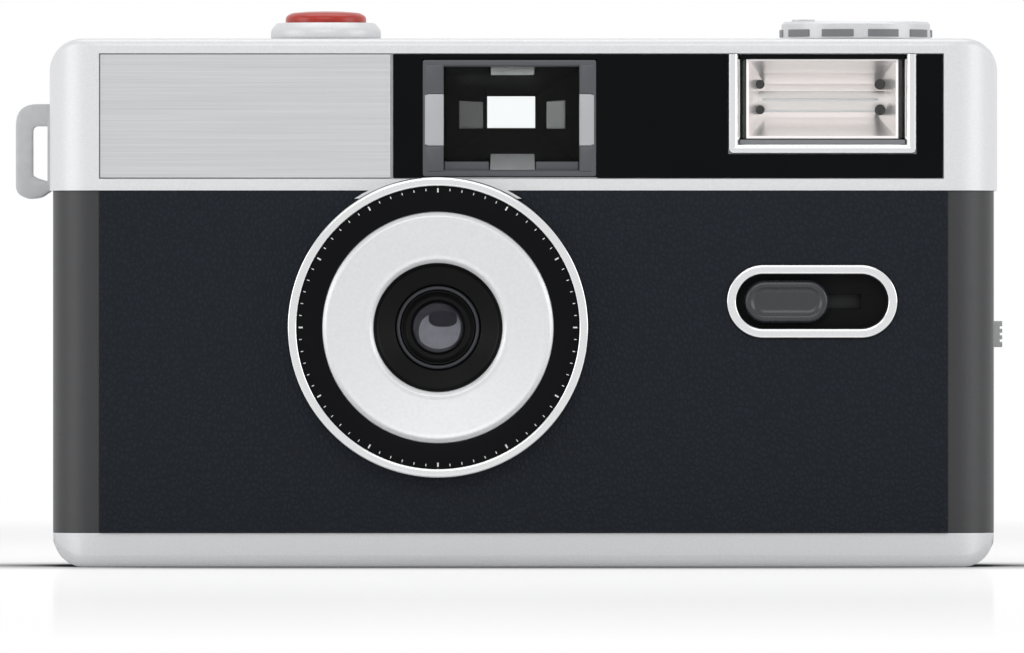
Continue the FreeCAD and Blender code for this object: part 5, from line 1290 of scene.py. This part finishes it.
class FILMCAMERA_OT_back(bpy.types.Operator):
    """Small parts of the back and the ends: lamp, window, latch, hinge pin and strap lug"""

    bl_idname = "film_camera.back"
    bl_label = "Back and ends"

    def execute(self, context):
        self.lug()
        for name, make, slot_name in (
            ("door_latch", grey_moulding, "lug_grey"),
            ("film_window", clear_acrylic, "clear_plastic"),
            ("ready_lamp", amber_lamp, "lamp"),
            ("pressure_plate", inner_black, "black_moulding"),
        ):
            trimmed(name, "_part", make, slot_name)
        painted(bright_steel, "door_hinge_pin", "door_catch", "latch_spring", "pressure_spring",
                "shutter_spring")
        painted(inner_black, "chassis", "battery_holder")
        return {"FINISHED"}

    def lug(self):
        """Loop of the strap lug: every point lies between an outer outline and the hole's outline.

        The profile's first value is the share of the way inwards, its second the depth.
        """
        outer = rounded_corners([(-57.45, 56.2), (-61.8, 56.2), (-61.8, 45.3), (-60.2, 44.6),
                                 (-58.6, 44.8), (-57.45, 45.6)], [0.1, 2.6, 1.0, 0.6, 0.5, 0.1])
        hole = rounded_corners([(-57.95, 53.5), (-59.7, 53.5), (-59.7, 47.5), (-59.2, 47.2),
                                (-58.6, 47.0), (-57.95, 46.8)], [0.1, 0.7, 0.2, 0.2, 0.2, 0.1])
        section = softened([(0, -1.4), (1, -1.4), (1, 1.4), (0, 1.4)], 0.35)
        made = carried("strap_lug_loop", lambda share: outer + (hole - outer) * share, section, "XZ",
                       ring=True)
        seated(made, grey_moulding, "lug_grey", "strap_lug")


class FILMCAMERA_OT_underside(bpy.types.Operator):
    """Battery door, screws, rewind release, and the springs behind them"""

    bl_idname = "film_camera.underside"
    bl_label = "Underside"

    def execute(self, context):
        for name, make, slot_name in (
            ("battery_door", silver_lacquer, "silver_paint"),
            ("rewind_release", grey_moulding, "lug_grey"),
            ("case_screws", bright_steel, "steel"),
        ):
            trimmed(name, "_part", make, slot_name)
        painted(bright_steel, "battery_spring", "release_spring")
        return {"FINISHED"}


class FILMCAMERA_OT_stage(bpy.types.Operator):
    """Floor, lamps, world and the view's camera"""

    bl_idname = "film_camera.stage"
    bl_label = "Stage"

    def execute(self, context):
        self.floor()
        self.lamps()
        self.world()
        self.view(context.scene.film_camera_sizes.distance)
        return {"FINISHED"}

    def floor(self):
        """White table top, darker where the part shades it, with a faint reflection, fading to white.

        Sizes are in metres. Only the view's camera sees the full shade. Other rays see at least a share of
        the white, so that the shade doesn't darken what stands on the table.
        """
        side, front, behind = 2.5, -1.6, 0.6
        lift, mirror_share, shade_reach, fade = 0.22, 0.16, 0.03, (0.32, 0.6)
        darkest, dark_below, least_unseen = 0.03, 0.5, 0.65
        mesh = bpy.data.meshes.new("table_top")
        mesh.from_pydata([(-side, front, 0), (side, front, 0), (side, behind, 0), (-side, behind, 0)],
                         [], [(0, 1, 2, 3)])
        made = bpy.data.objects.new("table_top", mesh)
        bpy.context.scene.collection.objects.link(made)
        material = bpy.data.materials.new("white_lacquered_table")
        material.use_nodes = True
        material.node_tree.nodes.clear()
        matt = node(material, "ShaderNodeBsdfDiffuse", {"Color": linear("#fdfdfd")})
        glow = node(material, "ShaderNodeEmission", {"Color": (1, 1, 1, 1), "Strength": lift})
        lifted = node(material, "ShaderNodeAddShader",
                      links={0: matt.outputs["BSDF"], 1: glow.outputs["Emission"]})
        gloss = node(material, "ShaderNodeBsdfGlossy", {"Color": linear("#ffffff"), "Roughness": 0.08})
        mixed = node(material, "ShaderNodeMixShader", {"Fac": mirror_share},
                     {1: lifted.outputs["Shader"], 2: gloss.outputs["BSDF"]})
        nearby = node(material, "ShaderNodeAmbientOcclusion", {"Distance": shade_reach}, samples=16)
        open_share = node(material, "ShaderNodeMapRange", {"From Min": dark_below, "To Min": darkest},
                          {"Value": nearby.outputs["AO"]})
        rays = node(material, "ShaderNodeLightPath")
        unseen = node(material, "ShaderNodeMath", {0: least_unseen}, {1: rays.outputs["Is Camera Ray"]},
                      operation="SUBTRACT")
        share = node(material, "ShaderNodeMath", links={
            0: open_share.outputs["Result"], 1: unseen.outputs["Value"]}, operation="MAXIMUM")
        shaded = node(material, "ShaderNodeMixShader", links={
            "Fac": share.outputs["Value"], 2: mixed.outputs["Shader"]})
        place = node(material, "ShaderNodeTexCoord")
        away = node(material, "ShaderNodeVectorMath", links={0: place.outputs["Object"]},
                    operation="LENGTH")
        far = node(material, "ShaderNodeMapRange", {"From Min": fade[0], "From Max": fade[1]},
                   {"Value": away.outputs["Value"]})
        white = node(material, "ShaderNodeEmission", {"Color": (1, 1, 1, 1), "Strength": 1.0})
        faded = node(material, "ShaderNodeMixShader", links={
            "Fac": far.outputs["Result"], 1: shaded.outputs["Shader"], 2: white.outputs["Emission"]})
        node(material, "ShaderNodeOutputMaterial", links={"Surface": faded.outputs["Shader"]})
        mesh.materials.append(material)

    def lamps(self):
        """Soft boxes above, in front and at both sides, all turned to the middle of the part."""
        target = Vector((0, 0, 0.03))
        for name, place, size, power in (
            ("top_box", (0.0, 0.1, 0.75), (0.8, 0.5), 2.2),
            ("front_box", (-0.1, -0.95, 0.6), (0.7, 0.5), 1.9),
            ("left_box", (-0.72, -0.26, 0.18), (0.45, 0.5), 1.3),
            ("right_box", (0.72, -0.26, 0.18), (0.45, 0.5), 1.3),
        ):
            data = bpy.data.lights.new(name, "AREA")
            data.shape = "RECTANGLE"
            data.size, data.size_y = size
            data.energy = power
            lamp = bpy.data.objects.new(name, data)
            bpy.context.scene.collection.objects.link(lamp)
            lamp.location = place
            aim = target - lamp.location
            lamp.rotation_euler = aim.to_track_quat("-Z", "Y").to_euler()

    def world(self):
        """White surroundings where the view, metal and glass look, and a soft grey fill elsewhere."""
        world = bpy.data.worlds.new("studio")
        world.use_nodes = True
        bpy.context.scene.world = world
        tree = world.node_tree
        tree.nodes.clear()
        rays = node(world, "ShaderNodeLightPath")
        fill = node(world, "ShaderNodeBackground", {"Color": (1, 1, 1, 1), "Strength": 0.36})
        white = node(world, "ShaderNodeBackground", {"Color": (1, 1, 1, 1), "Strength": 1.0})
        seen = node(world, "ShaderNodeMath", links={
            0: rays.outputs["Is Camera Ray"], 1: rays.outputs["Is Glossy Ray"]}, operation="MAXIMUM")
        also = node(world, "ShaderNodeMath", links={
            0: seen.outputs["Value"], 1: rays.outputs["Is Transmission Ray"]}, operation="MAXIMUM")
        mixed = node(world, "ShaderNodeMixShader", links={
            "Fac": also.outputs["Value"], 1: fill.outputs["Background"], 2: white.outputs["Background"]})
        node(world, "ShaderNodeOutputWorld", links={"Surface": mixed.outputs["Shader"]})
        bpy.context.scene.view_settings.view_transform = "Standard"

    def view(self, distance):
        """Straight-on camera at the photograph's height: its middle lies a little left of the body's."""
        photo_width, pixels_per_mm = 1024, 8.26
        sensor_width, middle_across, middle_up = 36, -1.39, 29.12
        data = bpy.data.cameras.new("view")
        data.sensor_width = sensor_width
        data.lens = sensor_width * distance / (photo_width / pixels_per_mm * MM)
        data.clip_start, data.clip_end = 0.05, 20
        camera = bpy.data.objects.new("view", data)
        bpy.context.scene.collection.objects.link(camera)
        camera.location = (middle_across * MM, COVER_FRONT * MM - distance, middle_up * MM)
        camera.rotation_euler = (math.pi / 2, 0, 0)
        bpy.context.scene.camera = camera


OPERATORS = (
    FILMCAMERA_OT_covers,
    FILMCAMERA_OT_coverings,
    FILMCAMERA_OT_panels,
    FILMCAMERA_OT_lens,
    FILMCAMERA_OT_ring_ticks,
    FILMCAMERA_OT_viewfinder,
    FILMCAMERA_OT_flash,
    FILMCAMERA_OT_flash_switch,
    FILMCAMERA_OT_shutter_button,
    FILMCAMERA_OT_rewind,
    FILMCAMERA_OT_advance,
    FILMCAMERA_OT_back,
    FILMCAMERA_OT_underside,
    FILMCAMERA_OT_stage,
)


class FILMCAMERA_PT_panel(bpy.types.Panel):
    """Sidebar panel with the sizes, the colours and a button for each group of pieces"""

    bl_idname = "FILMCAMERA_PT_panel"
    bl_label = "Film Camera"
    bl_space_type = "VIEW_3D"
    bl_region_type = "UI"
    bl_category = "Film Camera"

    def draw(self, context):
        for group in (context.scene.film_camera_sizes, context.scene.film_camera_colours):
            for name in group.bl_rna.properties.keys():
                if name not in ("rna_type", "name"):
                    self.layout.prop(group, name)
        for operator in OPERATORS:
            self.layout.operator(operator.bl_idname)


CLASSES = (FilmCameraSizes, FilmCameraColours, *OPERATORS, FILMCAMERA_PT_panel)


def register():
    for item in CLASSES:
        bpy.utils.register_class(item)
    bpy.types.Scene.film_camera_sizes = bpy.props.PointerProperty(type=FilmCameraSizes)
    bpy.types.Scene.film_camera_colours = bpy.props.PointerProperty(type=FilmCameraColours)


def unregister():
    del bpy.types.Scene.film_camera_colours
    del bpy.types.Scene.film_camera_sizes
    for item in reversed(CLASSES):
        bpy.utils.unregister_class(item)


def main():
    """Register the classes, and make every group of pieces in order."""
    register()
    for operator in OPERATORS:
        family, call = operator.bl_idname.split(".")
        getattr(getattr(bpy.ops, family), call)()


if __name__ == "__main__":
    main()
